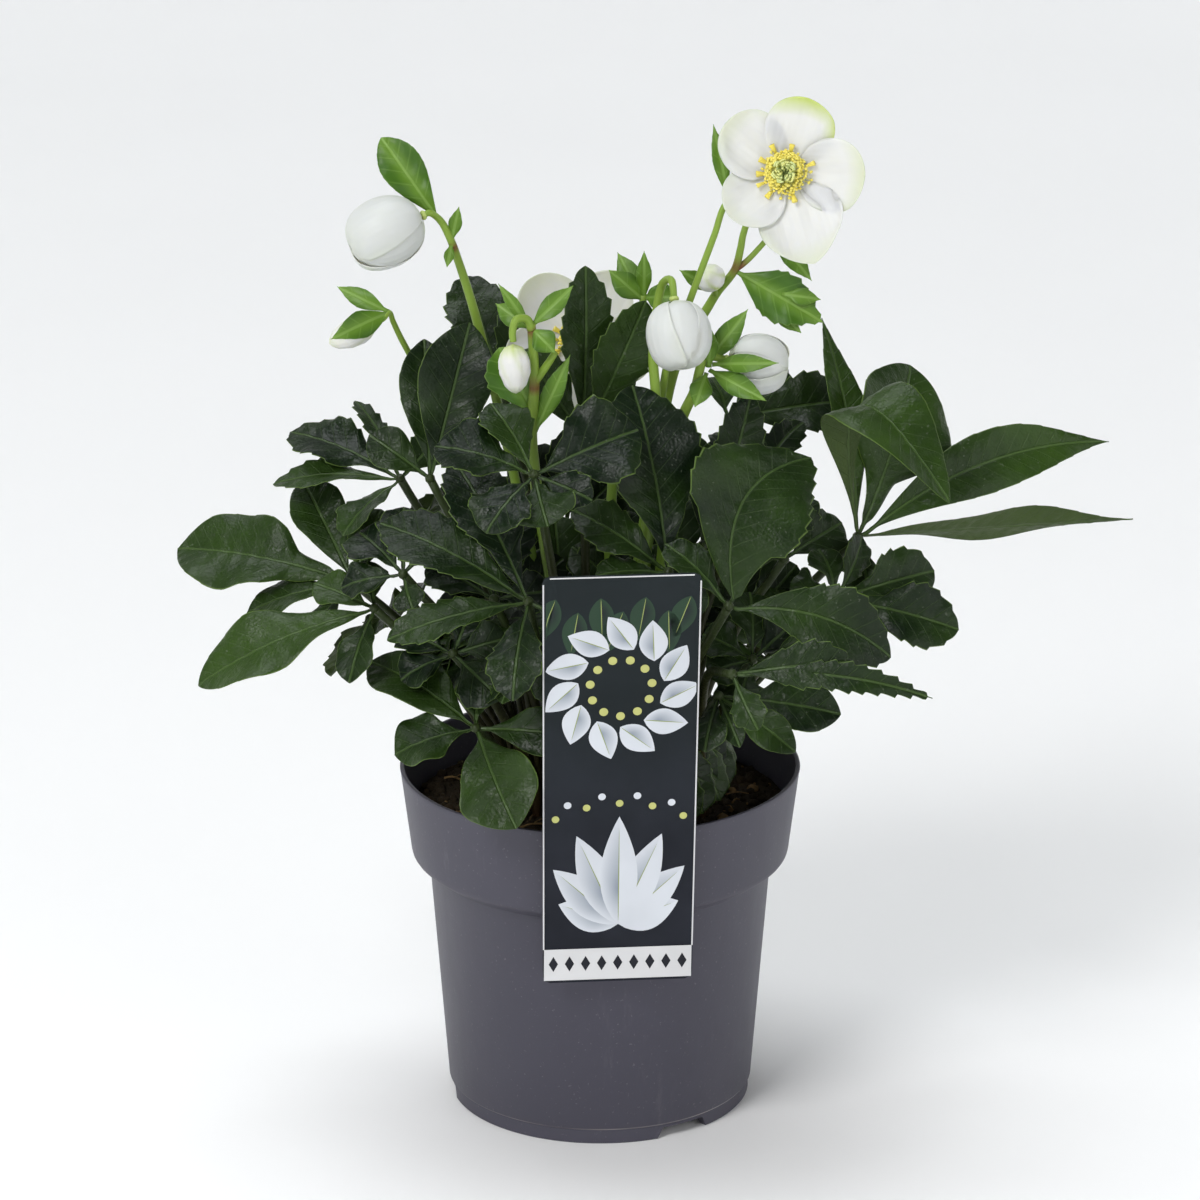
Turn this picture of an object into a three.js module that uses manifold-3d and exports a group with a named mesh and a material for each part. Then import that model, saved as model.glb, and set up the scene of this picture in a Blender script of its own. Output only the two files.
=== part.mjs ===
// A white-flowered hellebore growing in a round nursery pot, with a hooked plant label.
// Millimetres, +Z up. The origin is on the pot's axis at the level it stands on; the label is at -Y.
import * as THREE from 'three';
import { mergeVertices } from 'three/addons/utils/BufferGeometryUtils.js';
import Module from 'manifold-3d';

const wasm = await Module();
wasm.setup();

// ---- driving dimensions (mm and degrees) ----
const GAP = 0.3;                  // air kept between neighbouring pieces
const ROUND_SIDES = 32;           // sides of the pot and the soil

const RIM_RADIUS = 70;            // the pot is a 14 cm one
const POT_HEIGHT = 122;
const BAND_BOTTOM = 92.5;         // the collar below the rim
const BAND_RADIUS = 66.2;
const BODY_TOP = 86;
const BODY_TOP_RADIUS = 59.8;
const FOOT_HEIGHT = 5.4;
const FOOT_RADIUS = 52.7;
const FOOT_INNER_RADIUS = 49.3;
const FOOT_STEP = 0.9;            // the body stands out over the foot ring
const WALL = 1.6;
const FLOOR_BOTTOM = 4.4;
const FLOOR_TOP = 6.4;
const BOSS_RADIUS = 10;           // flat pad under the middle of the floor
const NOTCH_ANGLES = [34, 154, 274];
const NOTCH_SPAN = 22;
const NOTCH_HEIGHT = 4;
const DRAIN_RADIUS = 4;
const DRAIN_CIRCLE = 36;
const DRAIN_COUNT = 6;

const SOIL_EDGE = 106;            // soil level at the wall and in the middle
const SOIL_TOP = 110;
const ROOT_DEPTH = 12;            // how deep each stalk stands in its hole

const CARD_LENGTH = 152;
const CARD_WIDTH_TOP = 53;
const CARD_WIDTH_BOTTOM = 51;
const CARD_THICKNESS = 0.8;
const CARD_TOP = 218.5;
const CARD_CORNER = 2.5;
const CARD_BEARING = 5.2;         // turned this far to the right of the front
const CARD_LEAN = 6;              // top leans out
const CARD_RADIUS = 70.9;         // distance of the card from the axis at the rim
const TONGUE_WIDTH = 14;
const TONGUE_BOTTOM = 111.5;
const TONGUE_RADIUS = 65;

const BLADE = 0.8;                // thickness of leaves, bracts and sepals
const KEEL = 10;                  // how far each half of a blade is folded up, degrees
const NECK = 0.8;                 // half width of a leaflet where it leaves the hub
const HUB_START = 3.4;            // leaflets start this far from the hub's middle
const BASE_SPACING = 32;          // least angle between leaflets at the hub
const FREE_FROM = 0.3;            // share of its length from which a leaflet may lie over the next
const WIDEST_GAP = 150;           // a wider gap in the fan stays open
const SHORT_LEAFLET = 42;
const SHINGLE = 13;               // each leaflet is rolled so that its edge lies over the next one's
const TOOTH = 0.87;               // width left at a notch between two teeth
const BREADTH = 1.1;              // leaflets of leaves are this much broader than their half width
const PETIOLE_RADIUS = 1.7;
const PETIOLE_SIDES = 5;

// Leaves. hub [x, y, z]; face [turn to the right, rise] of the blade plane;
// foot [x, y] of the stalk; fan of leaflets, each
// [clock angle from uphill, length, half width, lift, bow, roll, form, sweep].
const LEAVES = {
  far_left: { hub: [-85, -5, 190], face: [-25, 40], foot: [-30, -2], fan: [
    [-88, 70, 15, 0, 9], [-116, 40, 8, 0, 5, 10], [-156, 22, 5, 0, 3, 10],
    [-42, 46, 9, 0, 6], [4, 28, 8, 0, 4]] },
  low_left: { hub: [-77, -24, 187], face: [-20, 45], foot: [-31, -13], fan: [
    [-124, 66, 13, 0, 9], [-178, 29, 7, 0, 3], [-75, 25, 7, 0, 2], [-24, 18, 6, 2, 2, 25]] },
  high_left: { hub: [-69, 12, 222], face: [-15, 55], foot: [-26, 8], fan: [
    [-99, 45, 6.5, 0, 6, 6], [-70, 47, 10, 0, 6], [-38, 38, 3.5, 3, 5, 15],
    [-152, 30, 7.5, 0, 4, 10], [28, 22, 6, 2, 3, 20]] },
  top_left: { hub: [-58, -10, 229], face: [-10, 18], foot: [-20, -4], fan: [
    [-58, 26, 7, 0, 3], [12, 55, 12, 3, 5]], extra: [{ face: [-14, 22], fan: [[-8, 48, 8.5, 0, 5]] }] },
  back_left: { hub: [-33, 32, 244], face: [-10, 40], foot: [-9, 21], fan: [
    [-23, 51, 10.5, 0, 7], [6, 38, 7.5, 5, 5], [36, 30, 8, 5, 4]] },
  back_mid: { hub: [-6, -6, 243], face: [5, 12], foot: [-4, 2], fan: [
    [2, 58, 8, 0, 4], [25, 51, 9, 9, 4], [-34, 36, 8, 0, 3]] },
  whorl: { hub: [-22, -50, 243], face: [0, 50], foot: [-8, -20], fan: [
    [-72, 35, 11.5, 0, 5], [-28, 32, 8, 0, 4], [63, 39, 14, 0, 5], [118, 22, 6, 0, 3],
    [167, 21, 11, 0, 3], [-146, 28, 10, 0, 4]] },
  mid: { hub: [23, -48, 208], face: [5, 35], foot: [8, -20], fan: [
    [-8, 66, 15.5, 3, 9], [-54, 39, 8, 0, 5], [-92, 25, 6, 0, 3, 15], [-139, 30, 9, 0, 4],
    [149, 19, 6, 3, 2]] },
  broad: { hub: [43, -60, 200], face: [12, 40], foot: [18, -28], fan: [
    [35, 63, 20.5, 0, 8, 0, 2, -28], [113, 57, 11, 0, 10, 0, 0, -10], [-38, 30, 7, 0, 5]] },
  mid_back: { hub: [35, -22, 209], face: [10, 25], foot: [16, -11], fan: [
    [22, 55, 8, 0, 7], [54, 40, 7.5, 0, 5]], extra: [{ face: [6, 29], fan: [[0, 38, 6.5, 0, 5]] }] },
  rolled: { hub: [52, 0, 218], face: [15, 55], foot: [23, 2], fan: [
    [20, 30, 7, 0, 4, 10], [-10, 31, 7, 0, 4]],
    extra: [{ face: [21, 49], fan: [[45, 38, 5, 3, 6, 0, 0, -6]] }] },
  back_right: { hub: [45, 34, 237], face: [10, 50], foot: [18, 16], fan: [
    [84, 45, 10, 0, 6], [42, 33, 8, 0, 5], [-12, 18, 6, 0, 3]] },
  right: { hub: [81, -25, 191], face: [20, 45], foot: [31, -10], fan: [
    [81, 38, 9.5, 0, 5], [115, 43, 10, 2, 6], [34, 27, 5, 0, 3, 20], [-5, 19, 7, 0, 3],
    [-73, 17, 7, 0, 3]] },
  low_right: { hub: [44, -74, 181], face: [-8, 40], foot: [35, -20], via: [36, -42, 168], fan: [
    [81, 40, 7, 0, 6], [152, 22, 5, 0, 3]],
    extra: [{ face: [-4, 44], fan: [[95, 67, 4.5, -3, 9, 5, 1, -6]] }] },
  rim_right: { hub: [40, -51, 165], face: [10, 50], foot: [25, -36], fan: [
    [104, 42, 9, 0, 5], [168, 21, 3.5, 0, 3], [136, 33, 6, 0, 5], [-160, 23, 6, 0, 3]] },
  far_right: { hub: [89, 0, 205], face: [20, 35], foot: [34, 4], fan: [
    [77, 102, 11, 3, 10, -6, 1, -16], [29, 68, 18, 0, 10], [3, 80, 7.5, 0, 10, 0, 1],
    [-176, 36, 8, 0, 5]],
    extra: [{ face: [225, -10], fan: [[7, 14.5, 15, -46, 80, -13]] },
      { face: [200, 45], fan: [[-96, 109, 10, 0, 8, -13, 1, -14]] }] },
  front_left: { hub: [-24, -58, 201], face: [-5, 45], foot: [-15, -30], fan: [
    [-62, 59, 11.5, 0, 8], [-29, 60, 10.5, 0, 8], [-109, 49, 7, 0, 6], [-176, 37, 8.5, 0, 5],
    [118, 31, 9, 0, 4]] },
  rim_left: { hub: [-42, -50, 153], face: [-15, 50], foot: [-28, -26], fan: [
    [-118, 29, 11.5, 0, 4], [149, 43, 13.5, 0, 6], [-63, 48, 11, 0, 7], [-12, 20, 7, 0, 2],
    [90, 38, 8, 0, 5]] },
  inner_left: { hub: [-36, -32, 193], face: [-10, 42], foot: [-16, -16], fan: [
    [-28, 34, 9.5, 0, 5], [6, 36, 8, 0, 5], [-66, 27, 8, 0, 4], [78, 19, 7, 0, 3]] },
  inner_far_left: { hub: [-67, -26, 200], face: [-20, 45], foot: [-24, -9], fan: [
    [-55, 27, 9, -4, 4], [-15, 26, 8, 0, 3], [30, 17, 6, 0, 2], [150, 15, 5, 0, 2],
    [-112, 22, 7, 0, 3]] },
  low_mid_left: { hub: [-50, -34, 174], face: [-12, 45], foot: [-22, -20], fan: [
    [-72, 22, 7.5, 0, 3], [12, 20, 7, 0, 3], [129, 25, 9, 0, 3], [68, 19, 7, 0, 2],
    [-125, 20, 7.5, 0, 3]] },
  inner_right: { hub: [63, -16, 202], face: [12, 42], foot: [27, -4], fan: [
    [18, 27, 8, 0, 4], [-20, 27, 8, 0, 4], [-80, 18, 7, 0, 2]],
    extra: [{ face: [16, 46], fan: [[61, 28, 7.5, -3, 3]] }] },
  low_mid_right: { hub: [52, -34, 172], face: [12, 42], foot: [24, -17], fan: [
    [52, 22, 8, 0, 3], [6, 25, 8, 0, 3], [-57, 19, 8, 0, 2], [-155, 22, 8, 0, 3],
    [100, 20, 8, 0, 3], [-106, 17, 7, 0, 2]] },
  deep_mid: { hub: [-12, 40, 196], face: [0, 15], foot: [-2, 36], fan: [
    [-75, 20, 8, 0, 3], [-30, 32, 10, 0, 4], [8, 36, 10, 0, 4], [45, 32, 10, 0, 4],
    [85, 26, 9, 0, 3]] },
};

// Leaves on the far side, set round the crown by rule.
const BACK_LEAVES = 6;
const BACK_FIRST = 25;
const BACK_STEP = 27;
const BACK_REACH = 60;
const BACK_LEVEL = 206;

// Flower stems. path of the stem from the soil up; neck, how far it runs straight into its
// flower or bud; twigs branch off it; bracts [base, tip, half width, bow, roll, 1 if toothed].
const STEMS = {
  tall: { foot: [3, -4], radius: 1.3, flower: 'open', path: [[20.5, -4, 252], [23.2, -6, 270],
    [30.4, -8, 291.6], [38.4, -8, 314], [42.5, -6, 325], [52, -1, 331.5]],
    bracts: [[[43.2, -5.8, 326], [38, -2, 351], 2.8, 2, 0]] },
  leafy: { foot: [10, 6], radius: 1.7, bud: 'hidden_a', path: [[23, 10, 251], [29, 10, 271],
    [36.5, 10, 283.4], [40, 9.5, 289.5], [45.8, 9, 297.4], [47.8, 8.8, 305]],
    twigs: [[[45.8, 9, 297.4], [50, 9.7, 300.5], [58.2, 12, 309], [61.8, 12.3, 312.8]],
      [[39.5, 9, 289], [39, 7, 291], [38.7, 5.8, 292.6]]],
    bracts: [[[46.5, 8.6, 297], [76, 2, 280.8], 8.5, 3, 0, 1],
      [[58.8, 12, 309.6], [72, 4, 295], 3.6, 2, 0], [[40, 9, 290], [27, 7, 298], 3, 1, 0]] },
  arching: { foot: [-9, 3], radius: 1.6, flower: 'left_bell', neck: 3, path: [[-37, 12, 257],
    [-43.8, 9, 286], [-48, 6, 301], [-50.5, 3, 309.5], [-54, 0.3, 317.2]],
    bracts: [[[-54.6, -0.2, 317.8], [-74, 10, 343.5], 7.4, 4, 0],
      [[-50.3, 3, 309.5], [-47.6, 0, 322], 2.4, 1, 0],
      [[-50.3, 3, 308.5], [-51.8, -2, 301.5], 1.8, 0.5, 0]] },
  left: { foot: [-14, 9], radius: 1.2, bud: 'left', neck: 3, path: [[-41, 18, 235], [-55, 15.5, 251],
    [-61.4, 14, 259.5], [-67.3, 11, 271], [-70.5, 7, 279.5], [-71.8, 3.5, 284]],
    bracts: [[[-71.8, 3.2, 284.3], [-89.6, 9, 291.6], 3.4, 2, 0],
      [[-71.8, 3, 284.2], [-91, -12, 279], 4.8, 4, 0]] },
  front: { foot: [-5, -10], radius: 2.3, path: [[-23, -24, 244], [-22, -26, 269], [-23, -28, 289]],
    twigs: [[[-22, -26, 268], [-18, -27, 274], [-15, -28, 279]],
      [[-23, -28, 287], [-24.5, -29.5, 291], [-28, -32, 291.5], [-29.2, -32.7, 287.5], [-29, -33, 284.2]]],
    bracts: [[[-23, -28, 287], [-34, -25, 302], 2.2, 1, 0], [[-23, -27.5, 288], [-9, -24, 301], 3.6, 2, 0],
      [[-22.5, -28, 287], [-15, -32, 280], 4.5, 3, 0], [[-23, -27.5, 287], [-35, -21, 294], 4, 1, 0],
      [[-22, -25, 256], [-34, -19, 278], 9, 3, 0, 1], [[-22, -25, 250], [-10, -24, 277], 3.6, 3, 0]] },
  nodding: { foot: [7, -13], radius: 1.8, flower: 'nodding', path: [[19, -12, 254], [18, -8, 272],
    [19, -6, 286], [21, -8, 297]], bracts: [] },
  short: { foot: [15, -3], radius: 2.1, flower: 'right_cup', path: [[25, 1, 230], [28, -8, 250],
    [32, -13, 261]],
    bracts: [[[38, -15, 271], [60, -27, 275], 3.3, 5, 0], [[37, -15, 269], [56, -28, 262], 4, 4, 0],
      [[35.5, -13.5, 270], [50, -10, 289], 4, 2, 0], [[37, -15, 270], [37, -18, 285], 3, 1, 0],
      [[36, -15, 268], [32, -22, 258], 4, 2, 0]] },
  bracts: { foot: [2, 6], radius: 2, path: [[6, 6, 244], [12, 12, 268], [15, 8, 289]],
    bracts: [[[15, 8, 287], [15, 6, 305], 2.7, 1, 0], [[15, 8, 288], [26, 2, 290], 5, 3, 0],
      [[15, 8, 287], [3, 7, 298], 4.5, 2, 0], [[15, 8, 288], [13, 6, 267], 5.5, 4, 0, 1],
      [[6, 6, 247], [9, 4, 282], 6, 3, 0, 1], [[14.5, 8, 287], [6, 15, 302], 4, 2, 0]] },
  back: { foot: [-3, 13], radius: 2.1, flower: 'back_open', path: [[-7, 24, 228], [-9, 33, 250]],
    bracts: [] },
};

// Flowers: centre of the receptacle, direction they look in, and the sepal's
// reach outward and forward: [start, pull, tip] as [radius, height], half width.
const OPEN_SEPAL = { spine: [[1.5, 0], [17, -1], [27, 7]], half: 12.5 };
const BELL_SEPAL = { spine: [[1.5, 0], [19, 3], [6, 26]], half: 11 };
const CUP_SEPAL = { spine: [[1.5, 0], [15, 2], [5, 20]], half: 9 };
const WIDEST_TURN = 44;           // half angle that one sepal covers at most
const FLOWERS = {
  open: { at: [62.5, -8, 335.8], look: [-0.132, -0.942, 0.309], sepal: OPEN_SEPAL, turn: 0,
    sepals: [[-15, 0.95], [53, 0.95], [130, 0.88], [201, 1.2], [269, 1]] },
  left_bell: { at: [-60.4, -3.6, 319.6], look: [-0.906, -0.244, -0.348], sepal: BELL_SEPAL, turn: 20 },
  nodding: { at: [25, -19.9, 294.4], look: [0.13, -0.43, -0.9], sepal: BELL_SEPAL, turn: 0, size: 0.88 },
  right_cup: { at: [43.7, -13, 272], look: [0.98, 0.1, -0.15], sepal: CUP_SEPAL, turn: 10 },
  back_open: { at: [-7, 26.4, 267], look: [0, -0.87, 0.5], sepal: OPEN_SEPAL, turn: -30 },
};
// Buds: base, direction, length, largest radius.
const BUDS = {
  left: [[-76.5, 0.5, 281.2], [-0.9, 0.05, -0.43], 17.5, 5],
  nodding: [[-29, -33, 283.5], [0.05, -0.1, -1], 17, 5.5],
  small: [[38.5, 5.2, 293.3], [-0.25, -0.6, 0.75], 9, 5.2],
  hidden_a: [[51, 11, 317], [0.3, 0.3, 0.9], 11, 4.4],
  hidden_b: [[62.6, 12.3, 313.6], [0.5, 0.3, 0.8], 11, 4.2],
};
const SEPALS = 5;
const STEM_STOP = 1.1;            // the stem ends this far behind the sepals' middle
const OVERLAP_STEP = 1.2;         // one sepal edge lies this far over the middle line
const STAMENS = 10;
const STAMEN_TIP = 7.6;

// ---- colours ----
const material = (color, roughness, metalness = 0) =>
  new THREE.MeshStandardMaterial({ color, roughness, metalness });
const PLASTIC = () => material(0x5b5962, 0.6);
const PEAT = () => material(0x2a211b, 1);
const CARD = () => material(0x2c2c30, 0.35);
const LEAF = () => material(0x2c4a2a, 0.45);
const STALK = () => material(0x8aa64a, 0.5);
const SEPAL = () => material(0xf2f1ea, 0.5);
const ANTHER = () => material(0xd9c832, 0.7);

const part = new THREE.Group();

function addMesh(name, geometry, look) {
  const mesh = new THREE.Mesh(geometry, look());
  mesh.name = name;
  part.add(mesh);
}

// ---- solids ----
const vec = (p) => new THREE.Vector3(p[0], p[1], p[2]);
const FRONT = vec([0, -1, 0.35]);  // the side that bracts turn their faces to
const rad = (degrees) => THREE.MathUtils.degToRad(degrees);

function signedVolume(positions, index) {
  let sum = 0;
  for (let i = 0; i < index.length; i += 3) {
    const [a, b, c] = [index[i], index[i + 1], index[i + 2]].map((k) => (
      new THREE.Vector3().fromArray(positions, 3 * k)));
    sum += a.dot(b.cross(c));
  }
  return sum / 6;
}

function solidFrom(positions, index) {
  const faces = Uint32Array.from(index);
  if (signedVolume(positions, faces) < 0) {
    for (let i = 0; i < faces.length; i += 3) {
      [faces[i + 1], faces[i + 2]] = [faces[i + 2], faces[i + 1]];
    }
  }
  return new wasm.Manifold(new wasm.Mesh({
    numProp: 3, vertProperties: Float32Array.from(positions), triVerts: faces }));
}

function solidOf(geometry) {
  const bare = geometry.clone();
  bare.deleteAttribute('normal');
  bare.deleteAttribute('uv');
  const merged = mergeVertices(bare, 1e-4);
  return solidFrom(merged.attributes.position.array, withoutSlivers(merged.index.array));
}

function withoutSlivers(index) {
  const kept = [];
  for (let i = 0; i < index.length; i += 3) {
    const [a, b, c] = [index[i], index[i + 1], index[i + 2]];
    if (a !== b && b !== c && c !== a) kept.push(a, b, c);
  }
  return kept;
}

function geometryOf(solid) {
  const mesh = solid.getMesh();
  const geometry = new THREE.BufferGeometry();
  geometry.setAttribute('position', new THREE.BufferAttribute(mesh.vertProperties, 3));
  geometry.setIndex(new THREE.BufferAttribute(mesh.triVerts, 1));
  geometry.computeVertexNormals();
  return geometry;
}

const fuse = (solids) => solids.reduce((all, one) => all.add(one));

function lathe(profile, sides) {
  const points = profile.map(([r, z]) => new THREE.Vector2(r, z));
  return new THREE.LatheGeometry(points, sides).rotateX(Math.PI / 2);
}

// A round bar along a smooth line through the points, with the same number of steps
// between any two of them.
function tube(points, radius, sides, steps) {
  const path = new THREE.CatmullRomCurve3(points, false, 'centripetal');
  const positions = [];
  const index = [];
  let across = vec([1, 0.3, 0]);
  for (let i = 0; i <= steps; i += 1) {
    const [at, along] = [path.getPoint(i / steps), path.getTangent(i / steps)];
    across = across.addScaledVector(along, -across.dot(along)).normalize();
    const aside = along.clone().cross(across);
    for (let k = 0; k < sides; k += 1) {
      const a = (2 * Math.PI * k) / sides;
      positions.push(...at.clone().addScaledVector(across, radius * Math.cos(a))
        .addScaledVector(aside, radius * Math.sin(a)).toArray());
      const [p, q] = [i * sides + k, i * sides + ((k + 1) % sides)];
      if (i < steps) index.push(p, q, q + sides, p, q + sides, p + sides);
    }
  }
  const last = steps * sides;
  for (let k = 1; k + 1 < sides; k += 1) index.push(0, k + 1, k, last, last + k, last + k + 1);
  return solidFrom(positions, index);
}

// A thin closed body from one curved sheet: points carry {at, normal},
// and the same triangles are used on both faces.
function plate({ points, faces }, thickness = BLADE) {
  const count = points.length;
  const positions = [];
  for (const side of [0.5, -0.5]) {
    for (const p of points) {
      positions.push(...p.at.clone().addScaledVector(p.normal, side * thickness).toArray());
    }
  }
  const index = [];
  const border = new Map();
  for (const [a, b, c] of faces) {
    index.push(a, b, c, a + count, c + count, b + count);
    for (const [p, q] of [[a, b], [b, c], [c, a]]) {
      if (border.has(`${q},${p}`)) border.delete(`${q},${p}`);
      else border.set(`${p},${q}`, [p, q]);
    }
  }
  for (const [p, q] of border.values()) {
    index.push(p + count, q + count, q, p + count, q, p);
  }
  return solidFrom(positions, index);
}

// Triangles between an edge line and a rib line that meet in the same last point.
function strip(sheet, edge, rib, flip) {
  const station = (k) => sheet.points[k].s;
  let [i, j] = [0, 0];
  while (i < edge.length - 1 || j < rib.length - 1) {
    const onEdge = j === rib.length - 1
      || (i < edge.length - 1 && station(edge[i + 1]) <= station(rib[j + 1]));
    const next = onEdge ? edge[i + 1] : rib[j + 1];
    const face = [edge[i], next, rib[j]];
    if (new Set(face).size === 3) sheet.faces.push(flip ? [face[0], face[2], face[1]] : face);
    if (onEdge) i += 1; else j += 1;
  }
}

// ---- blades: leaflets, bracts and sepals ----
const TOOTHED = { edges: [[0.24], [0.46], [0.68], [0.72, TOOTH], [0.9]], ribs: [0.34, 0.68] };
const CURLED = { edges: [[0.18], [0.34], [0.5], [0.66], [0.82], [0.93]],
  ribs: [0.18, 0.34, 0.5, 0.66, 0.82] };
const SHORT = { edges: [[0.3], [0.6], [0.66, TOOTH], [0.88]], ribs: [0.5] };
const SLIM = { edges: [[0.3], [0.55], [0.8]], ribs: [0.5] };
const PLAIN = { edges: [[0.15], [0.38], [0.62], [0.84]], ribs: [0.34, 0.68] };

// Where a blade is widest and how full it is: blunt, pointed, oval.
const BLADE_FORMS = [[1.5, 0.75], [1.05, 1.25], [1, 0.8]];

// Adds one blade to a sheet. spot(s, t) gives {at, normal} at s along and t across
// (-1..1). Returns the three points across its base.
function addBlade(sheet, spot, { edges, ribs }) {
  const put = (s, t) => sheet.points.push({ ...spot(s, t), s }) - 1;
  const tip = put(1, 0);
  const base = [-1, 0, 1].map((t) => put(0, t));
  const rib = [base[1], ...ribs.map((s) => put(s, 0)), tip];
  for (const side of [-1, 1]) {
    const edge = [base[1 + side], ...edges.map(([s, cut = 1]) => put(s, side * cut)), tip];
    strip(sheet, edge, rib, side > 0);
  }
  return base;
}

// Blades that grow from one middle point, in order round it; gaps[i] is the
// angle between blade i and the next one.
function whorl(middle, normal, blades, gaps) {
  const sheet = { points: [{ at: middle, normal, s: 0 }], faces: [] };
  const bases = blades.map(({ spot, shape }) => addBlade(sheet, spot, shape));
  bases.forEach((base, i) => {
    const next = bases[(i + 1) % bases.length];
    sheet.faces.push([0, base[0], base[1]], [0, base[1], base[2]]);
    if (gaps[i] < WIDEST_GAP) sheet.faces.push([0, base[2], next[0]]);
  });
  return plate(sheet);
}

function bladeWidth(s, half, form) {
  const [p, q] = BLADE_FORMS[form];
  return Math.max(half * Math.sin(Math.PI * s ** p) ** q, NECK * (1 - s));
}

// The surface of a blade from a base along reach, bowed towards up and swept sideways.
// room is the half angle that it may fill near the hub.
function bladeSpot({ base, reach, up, half, bow, sweep = 0, form = 0, room = 80 }) {
  const along = reach.clone().normalize();
  const out = up.clone().addScaledVector(along, -up.dot(along)).normalize();
  const side = along.clone().cross(out);
  const pull = reach.clone().multiplyScalar(0.5).addScaledVector(out, bow).addScaledVector(side, sweep);
  const keel = rad(KEEL);
  const [wedge, length] = [Math.tan(rad(room)), reach.length()];
  return (s, t) => {
    const slope = pull.clone().multiplyScalar(2 - 4 * s).addScaledVector(reach, 2 * s);
    const normal = side.clone().cross(slope).normalize();
    const limit = wedge * (HUB_START + s * length) * (1 + 6 * Math.max(0, s - FREE_FROM));
    const width = Math.min(bladeWidth(s, half, form), limit) * t;
    const at = base.clone().addScaledVector(pull, 2 * s * (1 - s)).addScaledVector(reach, s * s);
    at.addScaledVector(side, width * Math.cos(keel));
    at.addScaledVector(normal, Math.abs(width) * Math.sin(keel));
    return { at, normal };
  };
}

function facePlane([turn, rise]) {
  const [a, e] = [rad(turn), rad(rise)];
  const normal = vec([Math.sin(a) * Math.cos(e), -Math.cos(a) * Math.cos(e), Math.sin(e)]);
  const uphill = vec([0, 0, 1]).addScaledVector(normal, -normal.z).normalize();
  return { normal, uphill, across: uphill.clone().cross(normal) };
}

const onPlane = (plane, clock, length) => plane.across.clone()
  .multiplyScalar(Math.sin(rad(clock)) * length)
  .addScaledVector(plane.uphill, Math.cos(rad(clock)) * length);

function leafletShape(length, bow) {
  if (bow > length) return CURLED;
  return length < SHORT_LEAFLET ? SHORT : TOOTHED;
}

function leaflet(hub, plane, row, start, room) {
  const [clock, length, halfWidth, lift, bow, roll = 0, form = 0, sweep = 0] = row;
  const half = halfWidth * (form === 1 ? 1 : BREADTH);
  const base = hub.clone().add(onPlane(plane, start, HUB_START));
  const tip = hub.clone().add(onPlane(plane, clock, length)).addScaledVector(plane.normal, lift);
  const reach = tip.sub(base);
  const along = reach.clone().normalize();
  const up = plane.normal.clone().addScaledVector(along, -plane.normal.dot(along)).normalize();
  up.applyAxisAngle(along, rad(roll + SHINGLE));
  return { spot: bladeSpot({ base, reach, up, half, bow, sweep, form, room }),
    shape: leafletShape(reach.length(), bow) };
}

// Where the leaflets leave the hub: their own directions, spread to a least spacing.
function baseClocks(clocks) {
  const spread = [];
  for (const clock of clocks) {
    spread.push(spread.length ? Math.max(clock, spread.at(-1) + BASE_SPACING) : clock);
  }
  const drift = spread.reduce((sum, c, i) => sum + c - clocks[i], 0) / clocks.length;
  return spread.map((c) => c - drift);
}

function palm(hub, face, fan) {
  const plane = facePlane(face);
  const rows = [...fan].sort((a, b) => a[0] - b[0]);
  const starts = baseClocks(rows.map((row) => row[0]));
  const gaps = starts.map((c, i) => (i + 1 < starts.length ? starts[i + 1] - c : starts[0] + 360 - c));
  const blades = rows.map((row, i) => {
    const room = Math.min(160, gaps[i], gaps.at(i - 1)) / 2;
    return leaflet(hub, plane, row, starts[i], room);
  });
  return whorl(hub, plane.normal, blades, gaps);
}

function stalkPath([x, y], hub, via) {
  const start = vec([x, y, SOIL_TOP - ROOT_DEPTH]);
  const collar = vec([x, y, SOIL_TOP + 10]);
  const bend = via ? vec(via) : collar.clone().lerp(hub, 0.5);
  if (!via) bend.z += 0.12 * (hub.z - collar.z);
  return [start, vec([x, y, SOIL_TOP]), collar, bend, hub];
}

function leaf({ hub, face, foot, via, fan, extra = [] }) {
  const at = vec(hub);
  const pieces = [palm(at, face, fan), tube(stalkPath(foot, at, via), PETIOLE_RADIUS, PETIOLE_SIDES, 6)];
  return fuse([...pieces, ...extra.map((turned) => palm(at, turned.face, turned.fan))]);
}

// ---- pot ----
function potProfile() {
  const inner = (r) => r - WALL;
  return [[0, 0], [BOSS_RADIUS, 0], [BOSS_RADIUS, FLOOR_BOTTOM], [FOOT_INNER_RADIUS, FLOOR_BOTTOM],
    [FOOT_INNER_RADIUS, 0], [FOOT_RADIUS, 0], [FOOT_RADIUS, FOOT_HEIGHT],
    [FOOT_RADIUS + FOOT_STEP, FOOT_HEIGHT + 0.4], [BODY_TOP_RADIUS, BODY_TOP],
    [BODY_TOP_RADIUS + 2.4, BODY_TOP + 2], [BAND_RADIUS - 0.9, BAND_BOTTOM - 2.2],
    [BAND_RADIUS, BAND_BOTTOM], [RIM_RADIUS, POT_HEIGHT], [inner(RIM_RADIUS), POT_HEIGHT],
    [inner(BAND_RADIUS), BAND_BOTTOM + 0.8], [inner(BAND_RADIUS - 1.2), BAND_BOTTOM - 1.2],
    [inner(BODY_TOP_RADIUS), BODY_TOP + 0.6], [inner(FOOT_RADIUS + FOOT_STEP), FLOOR_TOP], [0, FLOOR_TOP]];
}

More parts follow.
